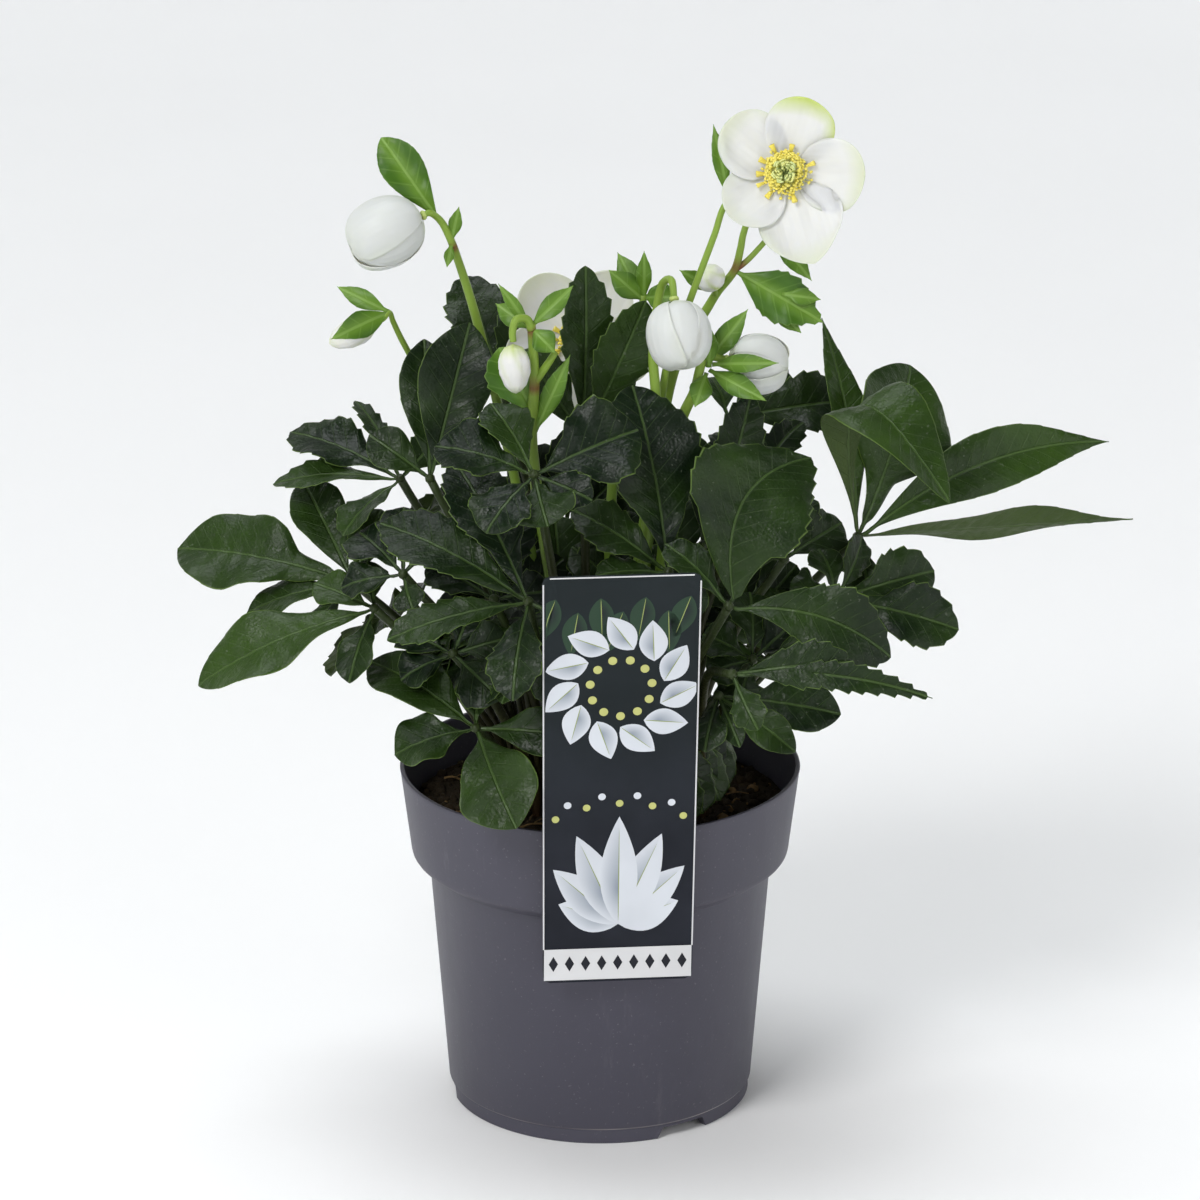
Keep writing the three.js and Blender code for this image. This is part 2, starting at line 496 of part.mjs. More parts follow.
function pot() {
  let body = solidOf(lathe(potProfile(), ROUND_SIDES));
  for (const angle of NOTCH_ANGLES) {
    const arch = new THREE.Shape();
    const half = FOOT_RADIUS * Math.tan(rad(NOTCH_SPAN / 2));
    arch.moveTo(-half, -1);
    arch.lineTo(half, -1);
    arch.lineTo(half - 1.5, NOTCH_HEIGHT);
    arch.lineTo(1.5 - half, NOTCH_HEIGHT);
    arch.closePath();
    const [from, to] = [FOOT_INNER_RADIUS - 4, FOOT_RADIUS + 4];
    const cut = new THREE.ExtrudeGeometry(arch, { depth: to - from, bevelEnabled: false });
    cut.rotateX(Math.PI / 2).translate(0, -from, 0).rotateZ(rad(angle));
    body = body.subtract(solidOf(cut));
  }
  for (let i = 0; i < DRAIN_COUNT; i += 1) {
    const a = rad(30 + (360 * i) / DRAIN_COUNT);
    const hole = new THREE.CylinderGeometry(DRAIN_RADIUS, DRAIN_RADIUS, 6, 6).rotateX(Math.PI / 2);
    hole.translate(DRAIN_CIRCLE * Math.cos(a), DRAIN_CIRCLE * Math.sin(a), (FLOOR_BOTTOM + FLOOR_TOP) / 2);
    body = body.subtract(solidOf(hole));
  }
  return body;
}

// ---- soil, with a plain hole for every stalk ----
function soil(feet) {
  const inner = (r) => r - WALL - GAP;
  let body = solidOf(lathe([[0, FLOOR_TOP + GAP], [inner(FOOT_RADIUS + FOOT_STEP), FLOOR_TOP + GAP],
    [inner(BODY_TOP_RADIUS), BODY_TOP + 0.9], [inner(BAND_RADIUS - 1.2), BAND_BOTTOM - 0.9],
    [inner(BAND_RADIUS) - 0.1, BAND_BOTTOM + 1.1], [inner(BAND_RADIUS + 1.4), SOIL_EDGE],
    [40, SOIL_TOP], [0, SOIL_TOP]], ROUND_SIDES));
  for (const { at: [x, y], radius } of feet) {
    const width = (radius + GAP) / Math.cos(Math.PI / 5) + 0.3;
    const hole = new THREE.CylinderGeometry(width, width, 2 * ROOT_DEPTH + 2 * GAP, 5);
    body = body.subtract(solidOf(hole.rotateX(Math.PI / 2).translate(x, y, SOIL_TOP)));
  }
  return body;
}

// ---- label: a card in front of the pot and a tongue hooked over the rim ----
function cardOutline() {
  const top = CARD_TOP - POT_HEIGHT;
  const corners = [[-CARD_WIDTH_BOTTOM / 2, top - CARD_LENGTH], [CARD_WIDTH_BOTTOM / 2, top - CARD_LENGTH],
    [CARD_WIDTH_TOP / 2, top], [-CARD_WIDTH_TOP / 2, top]];
  const shape = new THREE.Shape();
  corners.forEach(([x, y], i) => {
    const [sx, sy] = [Math.sign(x), i < 2 ? -1 : 1];
    const a = [x - sx * CARD_CORNER, y];
    const b = [x, y - sy * CARD_CORNER];
    const [from, to] = i % 2 === 0 ? [b, a] : [a, b];
    if (i === 0) shape.moveTo(...from); else shape.lineTo(...from);
    shape.lineTo(x - sx * 0.7, y - sy * 0.7);
    shape.lineTo(...to);
  });
  shape.closePath();
  return shape;
}

function label() {
  const card = new THREE.ExtrudeGeometry(cardOutline(), { depth: CARD_THICKNESS, bevelEnabled: false });
  card.rotateX(Math.PI / 2 + rad(CARD_LEAN)).translate(0, -CARD_RADIUS + 0.4, POT_HEIGHT);
  const reach = CARD_RADIUS - TONGUE_RADIUS + 0.4;
  const bridge = new THREE.BoxGeometry(TONGUE_WIDTH, reach, CARD_THICKNESS)
    .translate(0, -TONGUE_RADIUS - reach / 2 + 0.4, POT_HEIGHT + 1);
  const drop = POT_HEIGHT + 1 - TONGUE_BOTTOM;
  const tongue = new THREE.BoxGeometry(TONGUE_WIDTH, CARD_THICKNESS, drop)
    .translate(0, -TONGUE_RADIUS, TONGUE_BOTTOM + drop / 2);
  const whole = [card, bridge, tongue].map((g) => solidOf(g.rotateZ(rad(CARD_BEARING))));
  return fuse(whole);
}

// ---- flowers ----
function lookFrame(look, turn) {
  const axis = vec(look).normalize();
  const first = vec([0, 0, 1]).addScaledVector(axis, -axis.z).normalize();
  first.applyAxisAngle(axis, rad(turn));
  return { axis, first, second: axis.clone().cross(first) };
}

function spinePoint([a, b, c], s, size) {
  const mix = (k) => (1 - s) * (1 - s) * a[k] + 2 * s * (1 - s) * b[k] + s * s * c[k];
  const tilt = (k) => 2 * (1 - s) * (b[k] - a[k]) + 2 * s * (c[k] - b[k]);
  const slope = new THREE.Vector2(tilt(0), tilt(1)).normalize();
  return { radius: mix(0) * size, height: mix(1) * size, slope };
}

function sepalWidth(s, half) {
  return Math.max(half * Math.sin(Math.PI * s ** 1.35) ** 0.6, 1.3 * (1 - s));
}

function sepal(at, frame, { spine, half }, turn, size) {
  const spot = (s, t) => {
    const { radius, height, slope } = spinePoint(spine, s, size);
    const widest = rad(WIDEST_TURN) * Math.min(1, 0.6 + 1.2 * s);
    const angle = turn + t * Math.min((sepalWidth(s, half) * size) / radius, widest);
    const lie = OVERLAP_STEP * t * Math.min(1, s / 0.3) * (s < 1 ? 1 : 0);
    const radial = frame.first.clone().multiplyScalar(Math.cos(angle))
      .addScaledVector(frame.second, Math.sin(angle));
    const normal = radial.clone().multiplyScalar(-slope.y).addScaledVector(frame.axis, slope.x);
    const point = vec(at).addScaledVector(radial, radius).addScaledVector(frame.axis, height);
    return { at: point.addScaledVector(normal, lie), normal };
  };
  return { spot, shape: PLAIN };
}

const evenSepals = () => Array.from({ length: SEPALS }, (_, i) => [(360 / SEPALS) * i, 1]);

function flower({ at, look, sepal: kind, turn, size = 1, sepals = evenSepals() }) {
  const frame = lookFrame(look, turn);
  const blades = sepals.map(([angle, grow]) => sepal(at, frame, kind, rad(angle), size * grow));
  return whorl(vec(at), frame.axis, blades, Array(sepals.length).fill(360 / SEPALS));
}

function toFrame(geometry, at, frame) {
  const matrix = new THREE.Matrix4().makeBasis(frame.first, frame.second, frame.axis);
  return geometry.applyMatrix4(matrix.setPosition(...at));
}

function stamens({ at, look, turn }) {
  const frame = lookFrame(look, turn);
  const foot = BLADE / 2 + 2 * GAP;
  const pieces = [solidOf(toFrame(lathe([[0, foot], [2.6, foot], [3.2, foot + 2], [2, foot + 4.5],
    [0, foot + 5]], 8), at, frame))];
  for (let i = 0; i < STAMENS; i += 1) {
    const angle = i * 2.39996;
    const spread = 0.45 + 0.55 * ((i * 7) % STAMENS) / STAMENS;
    const club = new THREE.CylinderGeometry(1.1, 0.6, 6.5, 3).rotateX(Math.PI / 2).translate(0, 0, 3.2);
    club.rotateY(spread).rotateZ(angle).translate(1.2 * Math.cos(angle), 1.2 * Math.sin(angle), foot + 0.8);
    pieces.push(solidOf(toFrame(club, at, frame)));
  }
  return fuse(pieces);
}

function bud([base, look, length, radius]) {
  const frame = lookFrame(look, 0);
  const profile = [[0, 0], [0.55, 0.08], [0.97, 0.35], [0.97, 0.58], [0.66, 0.84], [0, 1]];
  const body = lathe(profile.map(([r, z]) => [r * radius, z * length]), 8);
  return solidOf(toFrame(body, base, frame));
}

function bract([from, to, half, bow, roll, toothed = 0]) {
  const base = vec(from);
  const reach = vec(to).sub(base);
  const along = reach.clone().normalize();
  const up = FRONT.clone().addScaledVector(along, -FRONT.dot(along)).normalize();
  up.applyAxisAngle(along, rad(roll));
  const sheet = { points: [], faces: [] };
  addBlade(sheet, bladeSpot({ base, reach, up, half, bow, form: half < 5 ? 1 : 0 }), toothed ? SHORT : SLIM);
  return plate(sheet);
}

const TWIG = 0.62;                // side stalks, as a share of the stem's radius

// A stem runs into its flower or bud along the axis and stops just short of it.
function stemEnd({ flower: bloom, bud: tip, neck = 8 }) {
  if (bloom) {
    const { at, look, size = 1 } = FLOWERS[bloom];
    const axis = vec(look).normalize();
    return [neck * size, STEM_STOP].map((d) => vec(at).addScaledVector(axis, -d));
  }
  if (!tip) return [];
  const [base, look] = BUDS[tip];
  return [neck, GAP + 0.2].map((d) => vec(base).addScaledVector(vec(look).normalize(), -d));
}

function stem(row) {
  const { foot: [x, y], radius, path, twigs = [], bracts } = row;
  const start = vec([x, y, SOIL_TOP - ROOT_DEPTH]);
  const line = [start, vec([x, y, SOIL_TOP]), vec([x, y, SOIL_TOP + 10]), ...path.map(vec), ...stemEnd(row)];
  const pieces = [tube(line, radius, 5, 2 * line.length)];
  for (const twig of twigs) pieces.push(tube(twig.map(vec), TWIG * radius, 4, 2 * twig.length));
  return fuse([...pieces, ...bracts.map(bract)]);
}

// ---- leaves on the far side ----
function backLeaf(i) {
  const bearing = BACK_FIRST + BACK_STEP * i;
  const [c, s] = [Math.cos(rad(bearing)), Math.sin(rad(bearing))];
  const far = i % 2;
  const fan = [90, 138, 180, 222, 270].map((clock, k) => (
    [clock, 44 - 9 * Math.abs(k - 2), 10.5 - Math.abs(k - 2), 0, 6]));
  const out = BACK_REACH + 10 * far;
  return { hub: [out * c, out * s, BACK_LEVEL - 34 * far], face: [bearing + 90, 52 - 6 * far],
    foot: [(24 + 10 * far) * c, (24 + 10 * far) * s], fan };
}

// ---- assembly ----
const feet = [];
addMesh('pot', geometryOf(pot()), PLASTIC);
addMesh('label', geometryOf(label()), CARD);
for (const [name, row] of Object.entries(LEAVES)) {
  addMesh(`leaf_${name}`, geometryOf(leaf(row)), LEAF);
  feet.push({ at: row.foot, radius: PETIOLE_RADIUS });
}
for (let i = 0; i < BACK_LEAVES; i += 1) {
  const row = backLeaf(i);
  addMesh(`leaf_back_${i + 1}`, geometryOf(leaf(row)), LEAF);
  feet.push({ at: row.foot, radius: PETIOLE_RADIUS });
}
for (const [name, row] of Object.entries(STEMS)) {
  addMesh(`stem_${name}`, geometryOf(stem(row)), STALK);
  feet.push({ at: row.foot, radius: row.radius });
}
for (const [name, row] of Object.entries(FLOWERS)) {
  addMesh(`flower_${name}`, geometryOf(flower(row)), SEPAL);
}
for (const name of ['open', 'back_open']) {
  addMesh(`stamens_${name}`, geometryOf(stamens(FLOWERS[name])), ANTHER);
}
for (const [name, row] of Object.entries(BUDS)) {
  addMesh(`bud_${name}`, geometryOf(bud(row)), SEPAL);
}
addMesh('soil', geometryOf(soil(feet)), PEAT);

export default part;
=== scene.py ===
# %% [markdown]
# This lesson dresses a potted hellebore: glossy hand-shaped leaves, white flowers, a plastic
# nursery pot, peat and a printed plant label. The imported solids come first. They fix every
# size and place, so a finer piece only has to follow the same numbers.

# %% Load the solids
import math

import bpy
import numpy as np
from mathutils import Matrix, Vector


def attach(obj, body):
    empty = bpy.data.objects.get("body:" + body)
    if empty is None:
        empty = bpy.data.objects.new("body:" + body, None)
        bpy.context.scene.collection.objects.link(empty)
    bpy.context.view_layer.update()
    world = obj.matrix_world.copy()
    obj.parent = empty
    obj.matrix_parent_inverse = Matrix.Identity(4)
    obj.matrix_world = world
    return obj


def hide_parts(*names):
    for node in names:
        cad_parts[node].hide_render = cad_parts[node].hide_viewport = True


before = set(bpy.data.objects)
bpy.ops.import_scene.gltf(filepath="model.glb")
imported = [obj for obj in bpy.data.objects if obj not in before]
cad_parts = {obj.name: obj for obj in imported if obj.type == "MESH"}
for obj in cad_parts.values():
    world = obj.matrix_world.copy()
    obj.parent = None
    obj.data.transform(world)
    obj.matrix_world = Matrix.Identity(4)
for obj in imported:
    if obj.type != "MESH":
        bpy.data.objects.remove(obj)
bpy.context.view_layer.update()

# %% [markdown]
# The plant is written down as tables, in millimetres and degrees. A leaf has the middle where
# its leaflets meet, the way its face is turned, the foot of its stalk, and a fan of leaflets:
# clock angle, length, half width, lift, bow, roll, form (0 blunt, 1 pointed, 2 oval) and
# sideways sweep. Some leaves have an extra fan that faces another way, or a stalk that bends
# via a given point. Such a table is quicker to correct than a sculpted mesh, and it keeps the
# leaves on their solids.

# %% The leaves in numbers
LEAVES = {
    "far_left": dict(hub=(-85, -5, 190), face=(-25, 40), foot=(-30, -2), fan=[
        (-88, 70, 15, 0, 9), (-116, 40, 8, 0, 5, 10), (-156, 22, 5, 0, 3, 10),
        (-42, 46, 9, 0, 6), (4, 28, 8, 0, 4)]),
    "low_left": dict(hub=(-77, -24, 187), face=(-20, 45), foot=(-31, -13), fan=[
        (-124, 66, 13, 0, 9), (-178, 29, 7, 0, 3), (-75, 25, 7, 0, 2), (-24, 18, 6, 2, 2, 25)]),
    "high_left": dict(hub=(-69, 12, 222), face=(-15, 55), foot=(-26, 8), fan=[
        (-99, 45, 6.5, 0, 6, 6), (-70, 47, 10, 0, 6), (-38, 38, 3.5, 3, 5, 15),
        (-152, 30, 7.5, 0, 4, 10), (28, 22, 6, 2, 3, 20)]),
    "top_left": dict(hub=(-58, -10, 229), face=(-10, 18), foot=(-20, -4), fan=[
        (-58, 26, 7, 0, 3), (12, 55, 12, 3, 5)], extra=[((-14, 22), [(-8, 48, 8.5, 0, 5)])]),
    "back_left": dict(hub=(-33, 32, 244), face=(-10, 40), foot=(-9, 21), fan=[
        (-23, 51, 10.5, 0, 7), (6, 38, 7.5, 5, 5), (36, 30, 8, 5, 4)]),
    "back_mid": dict(hub=(-6, -6, 243), face=(5, 12), foot=(-4, 2), fan=[
        (2, 58, 8, 0, 4), (25, 51, 9, 9, 4), (-34, 36, 8, 0, 3)]),
    "whorl": dict(hub=(-22, -50, 243), face=(0, 50), foot=(-8, -20), fan=[
        (-72, 35, 11.5, 0, 5), (-28, 32, 8, 0, 4), (63, 39, 14, 0, 5), (118, 22, 6, 0, 3),
        (167, 21, 11, 0, 3), (-146, 28, 10, 0, 4)]),
    "mid": dict(hub=(23, -48, 208), face=(5, 35), foot=(8, -20), fan=[
        (-8, 66, 15.5, 3, 9), (-54, 39, 8, 0, 5), (-92, 25, 6, 0, 3, 15), (-139, 30, 9, 0, 4),
        (149, 19, 6, 3, 2)]),
    "broad": dict(hub=(43, -60, 200), face=(12, 40), foot=(18, -28), fan=[
        (35, 63, 20.5, 0, 8, 0, 2, -28), (113, 57, 11, 0, 10, 0, 0, -10), (-38, 30, 7, 0, 5)]),
    "mid_back": dict(hub=(35, -22, 209), face=(10, 25), foot=(16, -11), fan=[
        (22, 55, 8, 0, 7), (54, 40, 7.5, 0, 5)], extra=[((6, 29), [(0, 38, 6.5, 0, 5)])]),
    "rolled": dict(hub=(52, 0, 218), face=(15, 55), foot=(23, 2), fan=[
        (20, 30, 7, 0, 4, 10), (-10, 31, 7, 0, 4)],
        extra=[((21, 49), [(45, 38, 5, 3, 6, 0, 0, -6)])]),
    "back_right": dict(hub=(45, 34, 237), face=(10, 50), foot=(18, 16), fan=[
        (84, 45, 10, 0, 6), (42, 33, 8, 0, 5), (-12, 18, 6, 0, 3)]),
    "right": dict(hub=(81, -25, 191), face=(20, 45), foot=(31, -10), fan=[
        (81, 38, 9.5, 0, 5), (115, 43, 10, 2, 6), (34, 27, 5, 0, 3, 20), (-5, 19, 7, 0, 3),
        (-73, 17, 7, 0, 3)]),
    "low_right": dict(hub=(44, -74, 181), face=(-8, 40), foot=(35, -20), via=(36, -42, 168), fan=[
        (81, 40, 7, 0, 6), (152, 22, 5, 0, 3)],
        extra=[((-4, 44), [(95, 67, 4.5, -3, 9, 5, 1, -6)])]),
    "rim_right": dict(hub=(40, -51, 165), face=(10, 50), foot=(25, -36), fan=[
        (104, 42, 9, 0, 5), (168, 21, 3.5, 0, 3), (136, 33, 6, 0, 5), (-160, 23, 6, 0, 3)]),
    "far_right": dict(hub=(89, 0, 205), face=(20, 35), foot=(34, 4), fan=[
        (77, 102, 11, 3, 10, -6, 1, -16), (29, 68, 18, 0, 10), (3, 80, 7.5, 0, 10, 0, 1),
        (-176, 36, 8, 0, 5)],
        extra=[((225, -10), [(7, 14.5, 15, -46, 80, -13)]),
               ((200, 45), [(-96, 109, 10, 0, 8, -13, 1, -14)])]),
    "front_left": dict(hub=(-24, -58, 201), face=(-5, 45), foot=(-15, -30), fan=[
        (-62, 59, 11.5, 0, 8), (-29, 60, 10.5, 0, 8), (-109, 49, 7, 0, 6), (-176, 37, 8.5, 0, 5),
        (118, 31, 9, 0, 4)]),
    "rim_left": dict(hub=(-42, -50, 153), face=(-15, 50), foot=(-28, -26), fan=[
        (-118, 29, 11.5, 0, 4), (149, 43, 13.5, 0, 6), (-63, 48, 11, 0, 7), (-12, 20, 7, 0, 2),
        (90, 38, 8, 0, 5)]),
    "inner_left": dict(hub=(-36, -32, 193), face=(-10, 42), foot=(-16, -16), fan=[
        (-28, 34, 9.5, 0, 5), (6, 36, 8, 0, 5), (-66, 27, 8, 0, 4), (78, 19, 7, 0, 3)]),
    "inner_far_left": dict(hub=(-67, -26, 200), face=(-20, 45), foot=(-24, -9), fan=[
        (-55, 27, 9, -4, 4), (-15, 26, 8, 0, 3), (30, 17, 6, 0, 2), (150, 15, 5, 0, 2),
        (-112, 22, 7, 0, 3)]),
    "low_mid_left": dict(hub=(-50, -34, 174), face=(-12, 45), foot=(-22, -20), fan=[
        (-72, 22, 7.5, 0, 3), (12, 20, 7, 0, 3), (129, 25, 9, 0, 3), (68, 19, 7, 0, 2),
        (-125, 20, 7.5, 0, 3)]),
    "inner_right": dict(hub=(63, -16, 202), face=(12, 42), foot=(27, -4), fan=[
        (18, 27, 8, 0, 4), (-20, 27, 8, 0, 4), (-80, 18, 7, 0, 2)],
        extra=[((16, 46), [(61, 28, 7.5, -3, 3)])]),
    "low_mid_right": dict(hub=(52, -34, 172), face=(12, 42), foot=(24, -17), fan=[
        (52, 22, 8, 0, 3), (6, 25, 8, 0, 3), (-57, 19, 8, 0, 2), (-155, 22, 8, 0, 3),
        (100, 20, 8, 0, 3), (-106, 17, 7, 0, 2)]),
    "deep_mid": dict(hub=(-12, 40, 196), face=(0, 15), foot=(-2, 36), fan=[
        (-75, 20, 8, 0, 3), (-30, 32, 10, 0, 4), (8, 36, 10, 0, 4), (45, 32, 10, 0, 4),
        (85, 26, 9, 0, 3)]),
}
BACK_LEAVES = 6


def around(radius, angle):
    """x and y of a point on a circle, with its angle in radians."""
    return radius * math.cos(angle), radius * math.sin(angle)


def back_leaf(i):
    """One of the leaves set round the far side of the crown by rule."""
    bearing, far = 25 + 27 * i, i % 2
    way = math.radians(bearing)
    fan = [(clock, 44 - 9 * abs(k - 2), 10.5 - abs(k - 2), 0, 6)
           for k, clock in enumerate((90, 138, 180, 222, 270))]
    return dict(hub=(*around(60 + 10 * far, way), 206 - 34 * far),
                face=(bearing + 90, 52 - 6 * far), foot=around(24 + 10 * far, way), fan=fan)


for number in range(BACK_LEAVES):
    LEAVES[f"back_{number + 1}"] = back_leaf(number)
print("leaves:", len(LEAVES))

# %% [markdown]
# Flower stems rise from the same crown. Each row holds the stem's path, its side twigs and its
# bracts, which are the small pale leaves below a flower: base, tip, half width, bow, roll, and
# 1 where the bract is toothed. Flowers and buds have a place and a direction to look in. A
# sepal is a curve of distance and height from the flower's middle, and its half width.

# %% The stems and flowers in numbers
STEMS = {
    "tall": dict(foot=(3, -4), radius=1.3, flower="open", path=[
        (20.5, -4, 252), (23.2, -6, 270), (30.4, -8, 291.6), (38.4, -8, 314), (42.5, -6, 325),
        (52, -1, 331.5)], bracts=[((43.2, -5.8, 326), (38, -2, 351), 2.8, 2, 0)]),
    "leafy": dict(foot=(10, 6), radius=1.7, bud="hidden_a", path=[
        (23, 10, 251), (29, 10, 271), (36.5, 10, 283.4), (40, 9.5, 289.5), (45.8, 9, 297.4),
        (47.8, 8.8, 305)],
        twigs=[[(45.8, 9, 297.4), (50, 9.7, 300.5), (58.2, 12, 309), (61.8, 12.3, 312.8)],
               [(39.5, 9, 289), (39, 7, 291), (38.7, 5.8, 292.6)]],
        bracts=[((46.5, 8.6, 297), (76, 2, 280.8), 8.5, 3, 0, 1),
                ((62, 4, 290.5), (75, 2, 289), 3, 1, 0), ((58, 4, 287), (68.5, 2, 277.2), 3, 1, 0),
                ((58.8, 12, 309.6), (72, 4, 295), 3.6, 2, 0),
                ((40, 9, 290), (27, 7, 298), 3, 1, 0)]),
    "arching": dict(foot=(-9, 3), radius=1.6, flower="left_bell", neck=3, path=[
        (-37, 12, 257), (-43.8, 9, 286), (-48, 6, 301), (-50.5, 3, 309.5), (-54, 0.3, 317.2)],
        bracts=[((-54.6, -0.2, 317.8), (-74, 10, 343.5), 7.4, 4, 0),
                ((-50.3, 3, 309.5), (-47.6, 0, 322), 2.4, 1, 0),
                ((-50.3, 3, 308.5), (-51.8, -2, 301.5), 1.8, 0.5, 0)]),
    "left": dict(foot=(-14, 9), radius=1.2, bud="left", neck=3, path=[
        (-41, 18, 235), (-55, 15.5, 251), (-61.4, 14, 259.5), (-67.3, 11, 271), (-70.5, 7, 279.5),
        (-71.8, 3.5, 284)],
        bracts=[((-71.8, 3.2, 284.3), (-89.6, 9, 291.6), 3.4, 2, 0),
                ((-71.8, 3, 284.2), (-91, -12, 279), 4.8, 4, 0)]),
    "front": dict(foot=(-5, -10), radius=2.3, path=[
        (-23, -24, 244), (-22, -26, 269), (-23, -28, 289)],
        twigs=[[(-22, -26, 268), (-18, -27, 274), (-15, -28, 279)],
               [(-23, -28, 287), (-24.5, -29.5, 291), (-28, -32, 291.5), (-29.2, -32.7, 287.5),
                (-29, -33, 284.2)]],
        bracts=[((-23, -28, 287), (-34, -25, 302), 2.2, 1, 0),
                ((-23, -27.5, 288), (-9, -24, 301), 3.6, 2, 0),
                ((-22.5, -28, 287), (-15, -32, 280), 4.5, 3, 0),
                ((-23, -27.5, 287), (-35, -21, 294), 4, 1, 0),
                ((-22, -25, 256), (-34, -19, 278), 9, 3, 0, 1),
                ((-22, -25, 250), (-10, -24, 277), 3.6, 3, 0)]),
    "nodding": dict(foot=(7, -13), radius=1.8, flower="nodding", path=[
        (19, -12, 254), (18, -8, 272), (19, -6, 286), (21, -8, 297)], bracts=[]),
    "short": dict(foot=(15, -3), radius=2.1, flower="right_cup", path=[
        (25, 1, 230), (28, -8, 250), (32, -13, 261)],
        bracts=[((38, -15, 271), (60, -27, 275), 3.3, 5, 0),
                ((37, -15, 269), (56, -28, 262), 4, 4, 0),
                ((35.5, -13.5, 270), (50, -10, 289), 4, 2, 0),
                ((37, -15, 270), (37, -18, 285), 3, 1, 0),
                ((36, -15, 268), (32, -22, 258), 4, 2, 0)]),
    "bracts": dict(foot=(2, 6), radius=2, path=[(6, 6, 244), (12, 12, 268), (15, 8, 289)],
        bracts=[((15, 8, 287), (15, 6, 305), 2.7, 1, 0), ((15, 8, 288), (26, 2, 290), 5, 3, 0),
                ((15, 8, 287), (3, 7, 298), 4.5, 2, 0), ((15, 8, 288), (13, 6, 267), 5.5, 4, 0, 1),
                ((6, 6, 247), (9, 4, 282), 6, 3, 0, 1), ((14.5, 8, 287), (6, 15, 302), 4, 2, 0)]),
    "back": dict(foot=(-3, 13), radius=2.1, flower="back_open",
                 path=[(-7, 24, 228), (-9, 33, 250)], bracts=[]),
}
OPEN_SEPAL = ([(1.5, 0), (17, -1), (27, 7)], 12.5)
BELL_SEPAL = ([(1.5, 0), (19, 3), (6, 26)], 11)
CUP_SEPAL = ([(1.5, 0), (15, 2), (5, 20)], 9)
EVEN = [(72 * i, 1) for i in range(5)]
FLOWERS = {
    "open": dict(at=(62.5, -8, 335.8), look=(-0.132, -0.942, 0.309), sepal=OPEN_SEPAL,
                 turn=0, size=1,
                 sepals=[(-15, 0.95), (53, 0.95), (130, 0.88), (201, 1.2), (269, 1)]),
    "left_bell": dict(at=(-60.4, -3.6, 319.6), look=(-0.906, -0.244, -0.348), sepal=BELL_SEPAL,
                      turn=20, size=1, sepals=EVEN),
    "nodding": dict(at=(25, -19.9, 294.4), look=(0.13, -0.43, -0.9), sepal=BELL_SEPAL,
                    turn=0, size=0.88, sepals=EVEN),
    "right_cup": dict(at=(43.7, -13, 272), look=(0.98, 0.1, -0.15), sepal=CUP_SEPAL,
                      turn=10, size=1, sepals=EVEN),
    "back_open": dict(at=(-7, 26.4, 267), look=(0, -0.87, 0.5), sepal=OPEN_SEPAL,
                      turn=-30, size=1, sepals=EVEN),
}
BUDS = {
    "left": ((-76.5, 0.5, 281.2), (-0.9, 0.05, -0.43), 17.5, 5),
    "nodding": ((-29, -33, 283.5), (0.05, -0.1, -1), 17, 5.5),
    "small": ((38.5, 5.2, 293.3), (-0.25, -0.6, 0.75), 9, 5.2, 0.95),
    "hidden_a": ((51, 11, 317), (0.3, 0.3, 0.9), 11, 4.4),
    "hidden_b": ((62.6, 12.3, 313.6), (0.5, 0.3, 0.8), 11, 4.2),
}
print("stems:", len(STEMS), "flowers:", len(FLOWERS), "buds:", len(BUDS))

# %% [markdown]
# Every organic piece is gathered as arrays of points and faces first, and made into one mesh
# at the end. Beside its place, each point keeps a few marks, such as how far it is from the
# midrib. The materials read these marks, so veins and pale edges stay sharp at any distance
# and no picture has to be painted.

# %% A heap of points that becomes a mesh
MM = 0.001
MARKS = ("under", "across", "along", "edge", "tone", "stalk", "blush")


def new_heap():
    return {"points": [], "faces": [], "marks": {m: [] for m in MARKS}, "count": 0}


def pour(heap, points, faces, **marks):
    """Adds points (n, 3) in mm and faces that count from 0, with a mark for each point."""
    points = np.asarray(points, float).reshape(-1, 3)
    heap["points"].append(points)
    heap["faces"] += [[int(k) + heap["count"] for k in face] for face in faces]
    for m in MARKS:
        value = np.asarray(marks.get(m, 0.0), float).ravel()
        heap["marks"][m].append(np.broadcast_to(value, (len(points),)))
    heap["count"] += len(points)


def mesh_of(name, points, faces):
    """A mesh from points in mm."""
    mesh = bpy.data.meshes.new(name)
    mesh.from_pydata((np.array(points) * MM).tolist(), [], faces)
    return mesh


def stand(name, data):
    """A new object that stands in the scene."""
    thing = bpy.data.objects.new(name, data)
    bpy.context.scene.collection.objects.link(thing)
    return thing


def dress(node, material):
    """Gives a solid a material of its own."""
    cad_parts[node].data.materials.clear()
    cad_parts[node].data.materials.append(material)


def piece_of(name, heap, material, nodes=()):
    """Makes the mesh, smooths it, and fixes it to the frame."""
    mesh = mesh_of(name, np.concatenate(heap["points"]), heap["faces"])
    for m in MARKS:
        values = np.concatenate(heap["marks"][m]).astype(np.float32)
        if np.any(values):
            mesh.attributes.new(m, "FLOAT", "POINT").data.foreach_set("value", values)
    mesh.shade_smooth()
    mesh.materials.append(material)
    return settle(stand(name, mesh), nodes)


def settle(piece, nodes=()):
    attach(piece, "root")
    if nodes:
        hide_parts(*nodes)
    return piece


def grid_faces(rows, columns, start=0, flip=False):
    i, j = np.meshgrid(np.arange(rows - 1), np.arange(columns - 1), indexing="ij")
    a = start + (i * columns + j).ravel()
    quads = np.stack([a, a + 1, a + columns + 1, a + columns], 1)
    return (quads[:, ::-1] if flip else quads).tolist()


